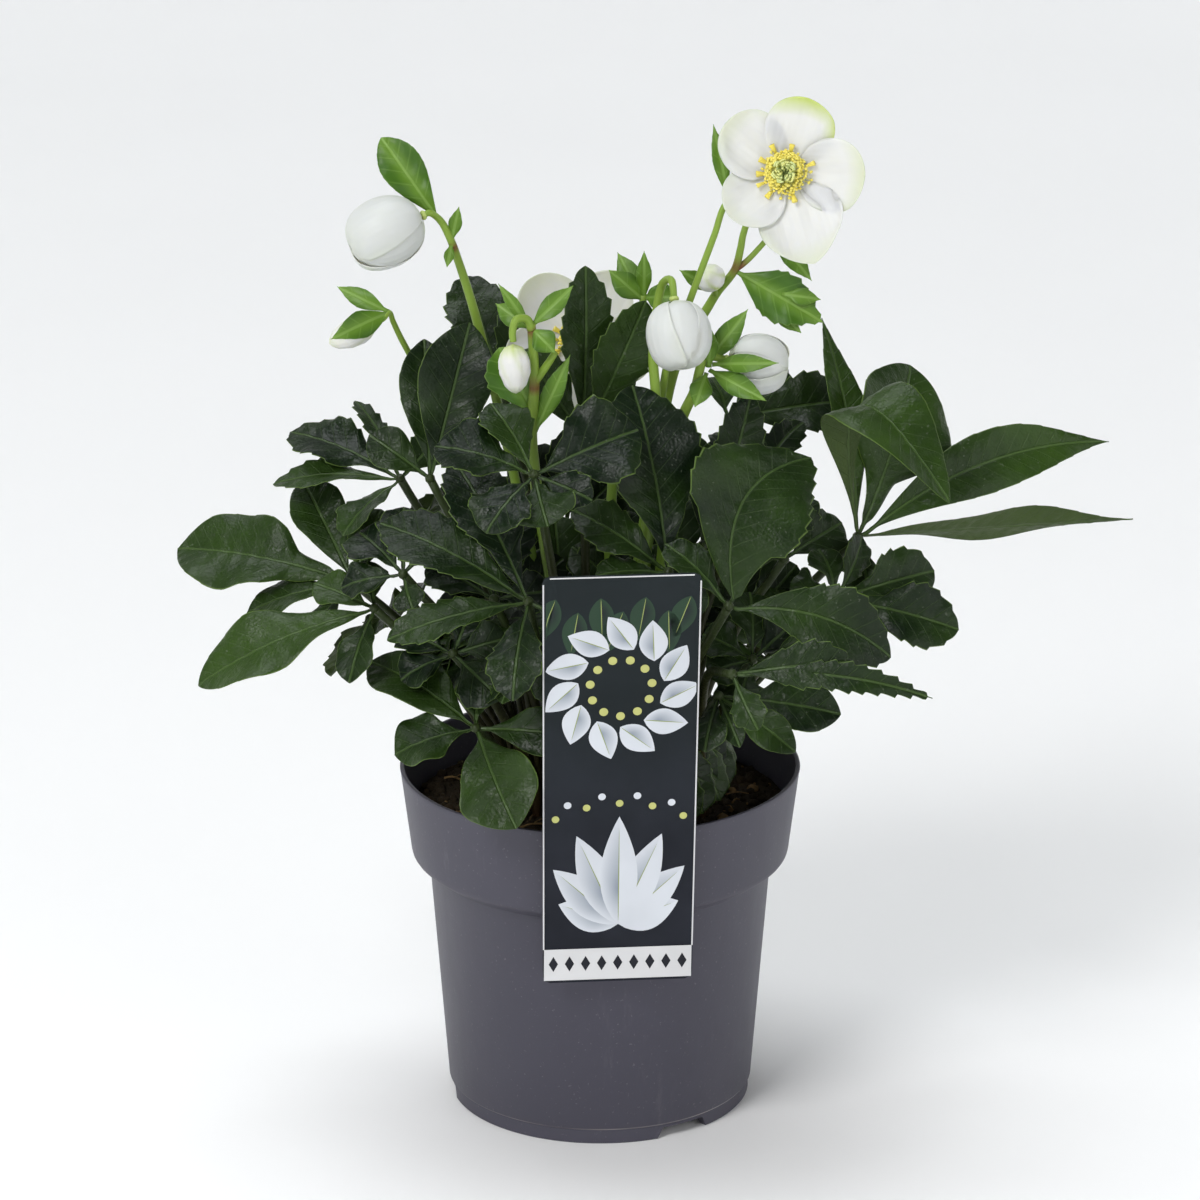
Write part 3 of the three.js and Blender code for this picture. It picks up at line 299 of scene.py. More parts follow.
def ring_faces(rings, sides, capped=True):
    """Faces between rings of points that follow each other, and a cap at each end."""
    faces = []
    for low in range(0, (rings - 1) * sides, sides):
        for j in range(sides):
            k = (j + 1) % sides
            faces.append([low + j, low + k, low + sides + k, low + sides + j])
    caps = [list(range(sides))[::-1], list(range((rings - 1) * sides, rings * sides))]
    return faces + caps if capped else faces


def rim_faces(rows, columns, under):
    """Closes the edge between a sheet's upper and lower grid."""
    first = list(range(columns))
    right = [r * columns + columns - 1 for r in range(rows)]
    last = [(rows - 1) * columns + c for c in range(columns)]
    left = [r * columns for r in range(rows)]
    loop = first + right[1:] + last[::-1][1:] + left[::-1][1:-1]
    return [[b, a, a + under, b + under] for a, b in zip(loop, loop[1:] + loop[:1])]


def pour_sheet(heap, middle, normal, thickness, **marks):
    """Adds a thin closed sheet: an upper and a lower grid round a middle one."""
    rows, columns = middle.shape[:2]
    half = 0.5 * thickness[..., None] * normal
    faces = grid_faces(rows, columns) + grid_faces(rows, columns, rows * columns, True)
    faces += rim_faces(rows, columns, rows * columns)
    both = {m: np.concatenate([np.broadcast_to(v, (rows, columns)).ravel()] * 2)
            for m, v in marks.items()}
    both["under"] = np.repeat([0.0, 1.0], rows * columns)
    pour(heap, np.concatenate([(middle + half).reshape(-1, 3), (middle - half).reshape(-1, 3)]),
         faces, **both)


print("marks:", ", ".join(MARKS))

# %% [markdown]
# A leaflet is a curved sheet. Its middle line is a bow from the base to the tip, its outline
# widens beyond the middle and closes in a blunt point, and its halves are folded up a little
# along the midrib. On top of the form that the solids have, the edge gets fine forward-leaning
# teeth and a slow wave, and the skin swells between the side veins.

# %% One blade
NECK, HUB_START, FREE_FROM, KEEL, BREADTH = 0.8, 3.4, 0.3, math.radians(14), 1.1
BLADE_FORMS = ((1.5, 0.75), (1.05, 1.25), (1, 0.8))
ROW_STEP, FEWEST_ROWS, MOST_ROWS, NECK_ROWS = 0.95, 14, 100, 3
COLUMNS = np.array([-1, -0.965, -0.9, -0.78, -0.62, -0.45, -0.28, -0.12, 0,
                    0.12, 0.28, 0.45, 0.62, 0.78, 0.9, 0.965, 1])
VEIN_PITCH, VEIN_LEAN = 6.0, 0.95
TURN = 2 * math.pi
rng = np.random.default_rng(7)


def unit(v):
    v = np.asarray(v, float)
    return v / np.linalg.norm(v)


def turned(v, axis, degrees):
    """v turned about a unit axis."""
    a = math.radians(degrees)
    flat = v * math.cos(a) + np.cross(axis, v) * math.sin(a)
    return flat + axis * axis.dot(v) * (1 - math.cos(a))


def blade_width(s, half, form):
    p, q = BLADE_FORMS[form]
    outline = half * np.clip(np.sin(np.pi * s ** p), 0, 1) ** q
    return np.maximum(outline, NECK * (1 - s))


def teeth(s, length, pitch, depth):
    """Sharp teeth that lean towards the tip, on the upper half of the blade."""
    phase = (s * length / pitch) % 1.0
    return depth * phase ** 1.4 * np.clip((s - 0.26) / 0.2, 0, 1) * np.clip((1 - s) / 0.05, 0, 1)


def blade_relief(x, t, s, run, half, wave):
    """Height of the skin over the smooth blade: fold, wavy halves, swellings and puckers."""
    turns, shift = rng.uniform(1.2, 2.4), rng.uniform(0, 6.28, 4)
    ripple = np.sin(6.28 * turns * s + np.where(t < 0, shift[0], shift[1]))
    fold = math.sin(KEEL) * (np.sqrt(x * x + 1) - 1)
    fold = fold + wave * half * (0.16 * ripple * np.abs(t) ** 2.2 - 0.07 * t**6) * np.sin(np.pi * s)
    q = (run - VEIN_LEAN * np.abs(x)) / VEIN_PITCH
    swell = -0.2 * np.cos(2 * np.pi * q) * (1 - t ** 4) * (1 - np.exp(-x * x / 3))
    pucker = 0.22 * np.sin(0.55 * run + 0.8 * x + shift[2]) * np.sin(0.9 * x - 0.3 * run + shift[3])
    return fold + wave * np.clip(half / 9, 0, 1) * (swell + pucker * (1 - t ** 4))


def add_blade(heap, base, reach, up, half, bow, sweep=0.0, form=0, room=80.0, start=None,
              tooth=(5.8, 1.5), wave=1.0, thickness=0.5, coarse=1, **marks):
    """A blade from its base; with a start, a short neck joins it to the middle of the leaf."""
    length, along = np.linalg.norm(reach), unit(reach)
    out = unit(up - up.dot(along) * along)
    side = np.cross(along, out)
    pull = 0.5 * reach + bow * out + sweep * side
    arc = length + 0.9 * bow
    rows = int(np.clip(arc / ROW_STEP / coarse, FEWEST_ROWS, MOST_ROWS))
    s = (1 - (1 - np.linspace(0, 1, rows)) ** 1.25)[:, None]
    slope = (2 - 4 * s) * pull + 2 * s * reach
    normal = np.cross(side, slope)
    normal /= np.linalg.norm(normal, axis=1)[:, None]
    line = base + 2 * s * (1 - s) * pull + s * s * reach
    free = 1 + 6 * np.maximum(0, s - FREE_FROM)
    limit = math.tan(math.radians(room)) * (HUB_START + s * length) * free
    width = np.maximum(np.minimum(blade_width(s, half, form), limit), 0.12)
    t = COLUMNS[None, ::coarse]
    x = width * t + np.sign(t) * teeth(s, arc, *tooth) * np.clip((np.abs(t) - 0.85) / 0.15, 0, 1)
    run = s * arc * np.ones_like(x)
    fold = blade_relief(x, t, s, run, half, wave)
    middle = line[:, None] + side * (x * math.cos(KEEL))[..., None]
    middle = middle + normal[:, None] * fold[..., None]
    normals = np.broadcast_to(normal[:, None], middle.shape)
    thick = thickness * (1 - 0.65 * t ** 4) * np.ones_like(x)
    if start is not None:
        k = np.linspace(0, 1, NECK_ROWS + 1)[:-1, None, None]
        neck = (1 - k) * (start + side * (x[0] * 0.6)[:, None]) + k * middle[0]
        middle = np.concatenate([neck, middle])
        normals, run = (np.concatenate([v[:1]] * NECK_ROWS + [v]) for v in (normals, run))
        thick, x = (np.concatenate([v[:NECK_ROWS], v]) for v in (thick, x))
    pour_sheet(heap, middle, normals, thick, across=x, along=run, edge=np.abs(t), **marks)


test = new_heap()
add_blade(test, np.zeros(3), np.array([0, 0, 60.0]), np.array([0, -1.0, 0]), 15, 8)
print("one blade:", test["count"], "points")

# %% [markdown]
# A round stalk is a tube along a smooth line. The line has to pass through the same points as
# the solid's, so the same spline is used here: a centripetal Catmull-Rom, which neither
# overshoots nor kinks where the points are unevenly spaced.

# %% Smooth lines and tubes
def spline(points, per_span=8):
    p = np.asarray(points, float)
    p = np.vstack([2 * p[0] - p[1], p, 2 * p[-1] - p[-2]])
    made = []
    for a, b, c, d in zip(p, p[1:], p[2:], p[3:]):
        spans = (a, b), (b, c), (c, d)
        t0, t1, t2 = (max(np.linalg.norm(v - u) ** 0.5, 1e-4) for u, v in spans)
        m1 = ((b - a) / t0 - (c - a) / (t0 + t1) + (c - b) / t1) * t1
        m2 = ((c - b) / t1 - (d - b) / (t1 + t2) + (d - c) / t2) * t1
        for u in np.linspace(0, 1, per_span, endpoint=False):
            made.append((2 * u**3 - 3 * u**2 + 1) * b + (u**3 - 2 * u**2 + u) * m1
                        + (3 * u**2 - 2 * u**3) * c + (u**3 - u**2) * m2)
    return np.array(made + [p[-2]])


def add_tube(heap, line, radius, sides=10, **marks):
    """A tube with one radius, or one for each point of the line, closed at both ends."""
    radius = np.broadcast_to(radius, (len(line),))
    ahead = np.gradient(line, axis=0)
    ahead /= np.linalg.norm(ahead, axis=1)[:, None]
    across = unit(np.cross(ahead[0], (0.3, 1, 0.2)))
    rings = []
    for point, way, r in zip(line, ahead, radius):
        across = unit(across - across.dot(way) * way)
        other = np.cross(way, across)
        a = np.arange(sides) * 2 * math.pi / sides
        rings.append(point + r * (np.cos(a)[:, None] * across + np.sin(a)[:, None] * other))
    spread = {m: np.repeat(v, sides) if np.ndim(v) else v for m, v in marks.items()}
    pour(heap, np.concatenate(rings), ring_faces(len(line), sides), **spread)


def add_ball(heap, at, axis, length, radius, rings=6, sides=8, **marks):
    """An egg-shaped ball along an axis."""
    steps = np.linspace(0, math.pi, rings + 1)
    line = np.array(at) + np.outer(-np.cos(steps) * length / 2, unit(axis))
    add_tube(heap, line, np.maximum(np.sin(steps) * radius, 0.02), sides, **marks)


print("a spline of 5 points has", len(spline(np.random.default_rng(1).random((5, 3)))), "points")

# %% [markdown]
# Materials come next. Node trees are long to write by hand, so small helpers keep them
# readable: one starts a surface, one adds a node, one feeds the surface, and the others stand
# for the nodes that are used most, such as sums, ramps, blends and noise.

# %% Helpers for materials
def surface(name, roughness, **values):
    material = bpy.data.materials.new(name)
    material.use_nodes = True
    tree = material.node_tree
    shader = tree.nodes["Principled BSDF"]
    shader.inputs["Roughness"].default_value = roughness
    for key, value in values.items():
        shader.inputs[key.replace("_", " ")].default_value = value
    return material, tree, shader


def add(tree, kind, out=0, settings=None, **inputs):
    """A node with its inputs set or linked; gives the wanted output socket."""
    node = tree.nodes.new("ShaderNode" + kind)
    for key, value in (settings or {}).items():
        setattr(node, key, value)
    for key, value in inputs.items():
        numbered = key[0] == "i" and key[1:].isdigit()
        socket = node.inputs[int(key[1:]) if numbered else key.replace("_", " ")]
        if isinstance(value, bpy.types.NodeSocket):
            tree.links.new(value, socket)
        else:
            socket.default_value = value
    return node.outputs[out]


def feed(tree, shader, **sockets):
    """Links sockets to inputs of the surface."""
    for key, value in sockets.items():
        tree.links.new(value, shader.inputs[key.replace("_", " ")])


def calc(tree, operation, a, b=0.0, clamp=False):
    return add(tree, "Math", settings=dict(operation=operation, use_clamp=clamp), i0=a, i1=b)


def plus(tree, a, b):
    return calc(tree, "ADD", a, b)


def times(tree, a, b):
    return calc(tree, "MULTIPLY", a, b)


def z_height(tree):
    return add(tree, "SeparateXYZ", "Z", Vector=add(tree, "TexCoord", "Object"))


def mark(tree, name):
    return add(tree, "Attribute", "Fac", dict(attribute_name=name))


def ramp(tree, value, low, high, first=0.0, last=1.0):
    return add(tree, "MapRange", settings=dict(interpolation_type="SMOOTHSTEP"),
               Value=value, From_Min=low, From_Max=high, To_Min=first, To_Max=last)


def blend(tree, share, a, b):
    a, b = (v if isinstance(v, bpy.types.NodeSocket) else (*v, 1) for v in (a, b))
    return add(tree, "Mix", 2, dict(data_type="RGBA"), i0=share, i6=a, i7=b)


def coat(tree, colour, *coats):
    """Blends further colours over the first one, each by its share."""
    for share, other in coats:
        colour = blend(tree, share, colour, other)
    return colour


def noise(tree, scale, detail=3.0, roughness=0.55, stretch=None):
    where = add(tree, "TexCoord", "Object")
    if stretch:
        where = add(tree, "Mapping", Vector=where, Scale=stretch)
    return add(tree, "TexNoise", "Fac", Vector=where, Scale=scale, Detail=detail,
               Roughness=roughness)


def bump(tree, shader, height, distance, strength=1.0):
    skin = add(tree, "Bump", Height=height, Distance=distance, Strength=strength)
    feed(tree, shader, Normal=skin)


print("material helpers ready")

# %% [markdown]
# The leaf is dark and waxy above and paler and matt below. Its midrib and side veins are pale
# lines, and its edge has a thin yellow-green line on the teeth. All of that is drawn from the
# marks: distance from the midrib, distance from the base, and how near the edge a point is.
# A tone mark sets how dark or light each leaf's green is; it is partly the leaf's own green
# and partly painted shade and painted light.

# %% Leaf material
def vein_lines(tree, across, along, thickness):
    """1 on the midrib and the side veins, 0 between them."""
    beside = calc(tree, "ABSOLUTE", across)
    rib = ramp(tree, beside, 0.25, 0.75, 1, 0)
    way = calc(tree, "SUBTRACT", along, times(tree, beside, VEIN_LEAN))
    way = calc(tree, "FRACT", calc(tree, "DIVIDE", way, VEIN_PITCH))
    near = calc(tree, "ABSOLUTE", calc(tree, "SUBTRACT", way, 0.5))
    side = ramp(tree, near, thickness, 2.6 * thickness, 1, 0)
    side = times(tree, side, ramp(tree, beside, 2, 13, 0.36, 0.05))
    return calc(tree, "MAXIMUM", rib, side)


def leaf_material(name, deep, light, below, vein, rim, rough):
    material, tree, shader = surface(name, rough, Specular_IOR_Level=0.23)
    lines = vein_lines(tree, mark(tree, "across"), mark(tree, "along"), 0.025)
    cloud, fine = noise(tree, 42, 4), noise(tree, 230, 3)
    patchy = times(tree, calc(tree, "SUBTRACT", cloud, 0.5), 1.1)
    # Tone blends dark to light green: partly each leaf's own green, partly painted shade and
    # painted light.
    tone = calc(tree, "ADD", times(tree, mark(tree, "tone"), 0.7), patchy, clamp=True)
    low = coat(tree, below, (times(tree, lines, 0.4), vein), (times(tree, cloud, 0.5), deep))
    stalk = coat(tree, (0.03, 0.048, 0.012), (mark(tree, "blush"), (0.055, 0.018, 0.012)),
                 (times(tree, cloud, 0.5), (0.012, 0.014, 0.006)))
    colour = coat(tree, deep, (tone, light), (times(tree, fine, 0.35), deep),
                  (times(tree, lines, 0.33), vein),
                  (ramp(tree, mark(tree, "edge"), 0.97, 0.99, 0, 0.6), rim),
                  (ramp(tree, noise(tree, 700, 1), 0.71, 0.76, 0, 0.3), (0.16, 0.18, 0.14)),
                  (mark(tree, "under"), low), (mark(tree, "stalk"), stalk))
    feed(tree, shader, Base_Color=colour)
    rough = plus(tree, rough, times(tree, mark(tree, "under"), 0.2))
    rough = plus(tree, rough, times(tree, calc(tree, "SUBTRACT", fine, 0.5), 0.35))
    feed(tree, shader, Roughness=rough)
    grain = add(tree, "TexVoronoi", "Distance", Vector=add(tree, "TexCoord", "Object"), Scale=900)
    height = plus(tree, times(tree, lines, -1), times(tree, grain, 0.25))
    height = plus(tree, height, times(tree, noise(tree, 75, 5), 2.4))
    bump(tree, shader, height, 0.0005, 0.9)
    return material


LEAF = leaf_material("waxy_leaf", deep=(0.0025, 0.009, 0.002), light=(0.04, 0.084, 0.01),
                     below=(0.055, 0.09, 0.018), vein=(0.1, 0.17, 0.045),
                     rim=(0.13, 0.21, 0.04), rough=0.4)
print("made", LEAF.name)

# %% [markdown]
# A whole leaf: the leaflets leave the middle side by side, each rolled a little so that it
# lies over the edge of the next, and a stalk carries them. Where two leaflets would leave the
# middle at nearly the same angle, their bases are spread and kept narrow, as on the solids.

# %% Leaves
BASE_SPACING, SHINGLE, SOIL_TOP, ROOT_DEPTH, STALK_RADIUS = 32, 13, 110, 12, 1.7
SMOOTH_LEAVES = ("far_left", "low_left", "far_right", "rim_left", "rim_right", "top_left")
# Each leaf's tone is partly its own green and partly painted light and shade: the leaves deep in
# the crown are set darkest as painted shade, the outer, well-lit ones lighter.
LEAF_TONE_AND_SHADE = dict(far_left=0.65, low_left=0.7, whorl=0.2, mid=0.35, broad=0.45, front_left=0.15,
                  rim_left=0.5, far_right=0.75, right=0.4, high_left=0.4, inner_left=0.1,
                  inner_right=0.15, inner_far_left=0.1, low_mid_left=0.1, low_mid_right=0.2,
                  deep_mid=0.0, mid_back=0.3)


def face_plane(turn, rise):
    a, e = math.radians(turn), math.radians(rise)
    normal = np.array([math.sin(a) * math.cos(e), -math.cos(a) * math.cos(e), math.sin(e)])
    uphill = unit(np.array([0, 0, 1.0]) - normal * normal[2])
    return normal, uphill, np.cross(uphill, normal)


def on_plane(plane, clock, length):
    a = math.radians(clock)
    return length * (math.sin(a) * plane[2] + math.cos(a) * plane[1])


def base_clocks(clocks):
    spread = []
    for clock in clocks:
        spread.append(max(clock, spread[-1] + BASE_SPACING) if spread else clock)
    drift = sum(a - b for a, b in zip(spread, clocks)) / len(clocks)
    return [a - drift for a in spread]


def add_palm(heap, hub, face, fan, **marks):
    plane = face_plane(*face)
    rows = sorted(fan)
    starts = base_clocks([row[0] for row in rows])
    gaps = [b - a for a, b in zip(starts, starts[1:] + [starts[0] + 360])]
    for i, row in enumerate(rows):
        clock, length, half, lift, bow, roll, form, sweep = (*row, 0, 0, 0)[:8]
        base = hub + on_plane(plane, starts[i], HUB_START)
        reach = hub + on_plane(plane, clock, length) + lift * plane[0] - base
        along = unit(reach)
        up = turned(unit(plane[0] - plane[0].dot(along) * along), along, roll + SHINGLE)
        own = {**marks, "tone": np.clip(marks["tone"] + rng.uniform(-0.3, 0.3), 0, 1)}
        add_blade(heap, base, reach, up, half * (1 if form == 1 else BREADTH), bow, sweep, form,
                  min(160, gaps[i], gaps[i - 1]) / 2, start=hub, **own)


def stalk_line(foot, hub, via):
    start, top = np.array([*foot, SOIL_TOP - ROOT_DEPTH]), np.array([*foot, SOIL_TOP + 10.0])
    bend = np.array(via, float) if via else 0.5 * (top + hub)
    if not via:
        bend[2] += 0.12 * (hub[2] - top[2])
    return spline([start, (*foot, SOIL_TOP), top, bend, hub])


def pour_leaf(heap, row, radius, **looks):
    hub = np.array(row["hub"], float)
    for face, fan in [(row["face"], row["fan"]), *row.get("extra", [])]:
        add_palm(heap, hub, face, fan, **looks)
    line = stalk_line(row["foot"], hub, row.get("via"))
    rise = np.linspace(0, 1, len(line))
    add_tube(heap, line, radius * (1.08 - 0.2 * rise), stalk=1.0,
             blush=np.clip(1.1 - 1.2 * rise, 0, 1))
    add_ball(heap, hub, line[-1] - line[-2], 2.1 * radius, 1.1 * radius, stalk=1.0)


def make_leaf(name, row):
    heap, looks = new_heap(), dict(tone=LEAF_TONE_AND_SHADE.get(name, rng.uniform(0.1, 0.6)))
    if name in SMOOTH_LEAVES:
        looks["tooth"] = (9, 0.25)
    pour_leaf(heap, row, STALK_RADIUS, **looks)
    return piece_of(f"leaf_{name}_fine", heap, LEAF, [f"leaf_{name}"])


leaves = {name: make_leaf(name, row) for name, row in LEAVES.items()}
print("leaf pieces:", len(leaves), "faces:", sum(len(o.data.polygons) for o in leaves.values()))

# %% [markdown]
# Flower stems are paler and softer than leaf stalks, and flushed with red at their joints.
# Their bracts are young leaves, so they get the same blade with a brighter green.

# %% Stem material and stems
def stem_material():
    material, tree, shader = surface("soft_stem", 0.42, Specular_IOR_Level=0.28)
    across = mark(tree, "across")
    lines = vein_lines(tree, across, mark(tree, "along"), 0.03)
    cloud, beside = noise(tree, 60, 3), calc(tree, "ABSOLUTE", across)
    streak = noise(tree, 90, 4, stretch=(1, 1, 0.12))
    low = blend(tree, times(tree, lines, 0.4), (0.11, 0.21, 0.035), (0.24, 0.36, 0.1))
    stalk = coat(tree, (0.085, 0.16, 0.012), (mark(tree, "tone"), (0.24, 0.36, 0.05)),
                 (times(tree, streak, 0.45), (0.09, 0.17, 0.02)),
                 (mark(tree, "blush"), (0.15, 0.03, 0.018)))
    colour = coat(tree, (0.02, 0.07, 0.004), (cloud, (0.065, 0.155, 0.011)),
                  (ramp(tree, beside, 0, 5, 0.5, 0), (0.17, 0.31, 0.03)),
                  (times(tree, lines, 0.5), (0.22, 0.36, 0.08)),
                  (ramp(tree, mark(tree, "edge"), 0.965, 0.985, 0, 0.4), (0.22, 0.33, 0.08)),
                  (mark(tree, "under"), low), (mark(tree, "stalk"), stalk))
    feed(tree, shader, Base_Color=colour)
    bump(tree, shader, plus(tree, times(tree, lines, -1), streak), 0.0002, 0.6)
    return material


STEM = stem_material()
FRONT = np.array([0, -1, 0.35])
BLUSHES = [((48, 9, 298), 3), ((-22, -26, 267), 2), ((-23, -28, 286), 1.5),
           ((-50, 3.5, 307), 1.5)]
PALE_FROM, PALE_OVER, RED_FOOT = 150, 130, 40
SMOOTH_POINTED, TOOTHED_POINTED = 5, 8.8


def stem_end(row):
    """The last points of a stem, in line with its flower or bud."""
    neck = row.get("neck", 8)
    if "flower" in row:
        bloom = FLOWERS[row["flower"]]
        steps, at, look = (neck * bloom["size"], 1.1), bloom["at"], bloom["look"]
    elif "bud" in row:
        steps, (at, look) = (neck, 0.5), BUDS[row["bud"]][:2]
    else:
        return []
    return [np.array(at) - d * unit(look) for d in steps]


def flush(line):
    """Red near the joints named above."""
    total = np.zeros(len(line))
    for at, reach in BLUSHES:
        total += np.exp(-np.sum((line - np.array(at)) ** 2, 1) / reach**2)
    return np.clip(total, 0, 0.9)


def add_stalk(heap, points, radius, ends=(1.25, 0.64)):
    line = spline(points)
    rise = np.linspace(0, 1, len(line))
    tone = np.clip((line[:, 2] - PALE_FROM) / PALE_OVER, 0, 1)
    red_foot = np.clip(1 - (line[:, 2] - SOIL_TOP) / RED_FOOT, 0, 0.6)
    add_tube(heap, line, radius * (ends[0] + (ends[1] - ends[0]) * rise), 12, stalk=1.0, tone=tone,
             blush=np.maximum(flush(line), red_foot))


def make_stem(name, row):
    heap, (x, y), radius = new_heap(), row["foot"], row["radius"]
    start = [(x, y, SOIL_TOP - ROOT_DEPTH), (x, y, SOIL_TOP), (x, y, SOIL_TOP + 10)]
    add_stalk(heap, [*start, *row["path"], *stem_end(row)], radius)
    for twig in row.get("twigs", []):
        add_stalk(heap, twig, 0.62 * radius, (1.05, 0.8))
    for bract in row["bracts"]:
        (tail, tip), (half, bow, roll, toothed) = bract[:2], (*bract[2:], 0)[:4]
        base, reach = np.array(tail, float), np.subtract(tip, tail).astype(float)
        along = unit(reach)
        up = turned(unit(FRONT - FRONT.dot(along) * along), along, roll)
        pointed = half < (TOOTHED_POINTED if toothed else SMOOTH_POINTED)
        add_blade(heap, base, reach, up, half, bow, form=1 if pointed else 0, wave=1.2,
                  tooth=(4.4, 1.2) if toothed else (3, 0.15), thickness=0.45)
    return piece_of(f"stem_{name}_fine", heap, STEM, [f"stem_{name}"])


stems = {name: make_stem(name, row) for name, row in STEMS.items()}
print("stem pieces:", len(stems))

# %% [markdown]
# A hellebore's white "petals" are five sepals that stay on for months. They are thick, matt
# and slightly see-through, with green in the tips of some. In an open flower each one runs out
# and forward along a bow and lies with one edge over its neighbour, like a pinwheel. A closed
# flower is a bell of sepals in layers, some above and some below, with one outermost.

# %% Flowers
OVERLAP_STEP, SEPAL_ROWS, SEPAL_COLUMNS = 0.75, 40, 25
OPEN_TURN, CLOSED_TURN = math.radians(52), math.radians(66)


def sepal_material():
    material, tree, shader = surface("white_sepal", 0.45, Specular_IOR_Level=0.35,
                                     Subsurface_Weight=0.35, Subsurface_Scale=0.004)
    shader.inputs["Subsurface Radius"].default_value = (1.0, 0.9, 0.6)
    fine = noise(tree, 70, 4)
    colour = coat(tree, (0.7, 0.7, 0.685), (times(tree, fine, 0.35), (0.6, 0.61, 0.55)),
                  # The tone mark gives closed flowers a brighter white: painted light against the
                  # shade on their down-turned bells.
                  (mark(tree, "tone"), (0.84, 0.84, 0.82)),
                  (times(tree, mark(tree, "under"), 0.3), (0.54, 0.59, 0.42)),
                  (mark(tree, "blush"), (0.42, 0.53, 0.1)))
    feed(tree, shader, Base_Color=colour)
    lines = calc(tree, "SINE", times(tree, mark(tree, "across"), 2.6))
    bump(tree, shader, plus(tree, times(tree, lines, 0.15), fine), 0.0003, 0.5)
    return material


SEPAL = sepal_material()


def look_frame(look, turn):
    axis = unit(look)
    first = turned(unit(np.array([0, 0, 1.0]) - axis * axis[2]), axis, turn)
    return axis, first, np.cross(axis, first)


def sepal_profile(kind, s, size, lip):
    """Distance from the flower's axis and height along it, from the sepal's foot to its tip."""
    a, b, c = kind[0]
    if c[0] > b[0]:
        radius, height = ((1 - s) ** 2 * p + 2 * s * (1 - s) * q + s * s * r
                          for p, q, r in zip(a, b, c))
    else:
        girth = 0.25 * a[0] + 0.5 * b[0] + 0.25 * c[0] + 0.6
        u = 0.05 + 0.93 * s
        radius = girth * np.sin(np.pi * u) ** 0.8
        height = c[1] * (1 - np.cos(np.pi * u)) / 2
    radius = radius + lip * np.clip((s - 0.55) / 0.45, 0, 1) ** 1.5
    return size * radius, size * height


def add_sepal(heap, at, frame_of, kind, turn, size, green, lip, layer, point):
    """One sepal; layer lifts it over its neighbours where the flower is closed."""
    half, closing = kind[1], kind[0][2][0] < kind[0][1][0]
    axis, first, second = frame_of
    s = (1 - (1 - np.linspace(0, 1, SEPAL_ROWS)) ** 1.6)[:, None]
    t = np.linspace(-1, 1, SEPAL_COLUMNS)[None, :]
    radius, height = sepal_profile(kind, s, size, lip)
    rise = [np.gradient(v[:, 0], s[:, 0])[:, None] for v in (radius, height)]
    steep = np.hypot(*rise)
    early, round_off = (1.25, 0.75) if point else (1.5, 0.48)
    reach = half * (1 if closing else 1.08)
    width = np.maximum(reach * np.clip(np.sin(np.pi * s**early), 0, 1) ** round_off, 1.3 * (1 - s))
    widest = CLOSED_TURN if closing else OPEN_TURN
    spread = np.minimum(width * size / radius, widest * np.minimum(1, 0.78 + s))
    angle = math.radians(turn) + t * spread
    shift = rng.uniform(0, 6.28, 3)
    ruffle = (0.3 if closing else 1.5) * np.sin(5.5 * s + 3.1 * t + shift[0]) * np.abs(t) ** 2 * s
    crease = np.sin(9 * t + 4 * s + shift[1]) + np.sin(5 * t - 7 * s + shift[2])
    cup = -0.5 * np.cos(2.2 * t) * np.sin(np.pi * s)
    cup = cup + (0.2 if closing else 0.9) * crease * s * (1 - s)
    slope = layer - 0.4 * t**8 if closing else t
    lie = OVERLAP_STEP * slope * np.minimum(1, s / 0.3)
    lie = (lie + (ruffle + cup) * size * min(1, half / 12)) * np.clip((1 - s) / 0.16, 0, 1)
    radial = np.cos(angle)[..., None] * first + np.sin(angle)[..., None] * second
    normal = radial * (-rise[1] / steep)[..., None] + axis * (rise[0] / steep)[..., None]
    middle = np.array(at) + radial * radius[..., None] + axis * height[..., None]
    middle = middle + normal * lie[..., None]
    x = t * spread * radius
    tip = green * np.clip((s - 0.7) / 0.3, 0, 1) ** 0.9 * np.ones_like(t)
    side = 0.9 * green * np.clip((-t - 0.55) / 0.45, 0, 1) * np.clip((s - 0.35) / 0.3, 0, 1)
    core = 0.35 * np.clip(1 - s / 0.18, 0, 1) * np.ones_like(t)
    thick = (0.26 if closing else 0.5) * (1 - 0.5 * t**4) * np.ones_like(x)
    # Closed flowers get tone 0.7, a brighter white that is painted light.
    pour_sheet(heap, middle, normal, thick, across=x, along=s * 30 * size * np.ones_like(x),
               blush=np.maximum(np.maximum(tip, side), core), tone=0.7 if closing else 0.0)


LIPS = {("left_bell", 2): 3.2, ("nodding", 1): 1.6, ("right_cup", 4): 1.5}
OUTERMOST = {"nodding": 0, "left_bell": 3, "right_cup": 1}
LAYERS = (0.55, -0.55, 0.55, -0.55, 0)
POINTED = {("open", 3), ("back_open", 0), ("back_open", 3)}
GREEN_TIPS = {"open": (1, 0.3, 0.2, 0.3, 0.4), "nodding": (0.15,) * 5, "left_bell": (0.15,) * 5}
for name, row in FLOWERS.items():
    heap, frame_of = new_heap(), look_frame(row["look"], row["turn"])
    for k, (angle, grow) in enumerate(row["sepals"]):
        green = GREEN_TIPS.get(name, (0.25, 0.3, 0.2, 0.3, 0.25))[k]
        lip = LIPS.get((name, k), 0)
        layer = LAYERS[(k - OUTERMOST.get(name, 0)) % 5]
        add_sepal(heap, row["at"], frame_of, row["sepal"], angle, row["size"] * grow, green,
                  lip, layer, (name, k) in POINTED)
    back = np.array(row["at"]) - 0.9 * frame_of[0]
    add_ball(heap, back, frame_of[0], 2.4, 1.8 if name in OUTERMOST else 2.6, blush=0.9)
    piece_of(f"flower_{name}_fine", heap, SEPAL, [f"flower_{name}"])
print("flowers done:", ", ".join(FLOWERS))

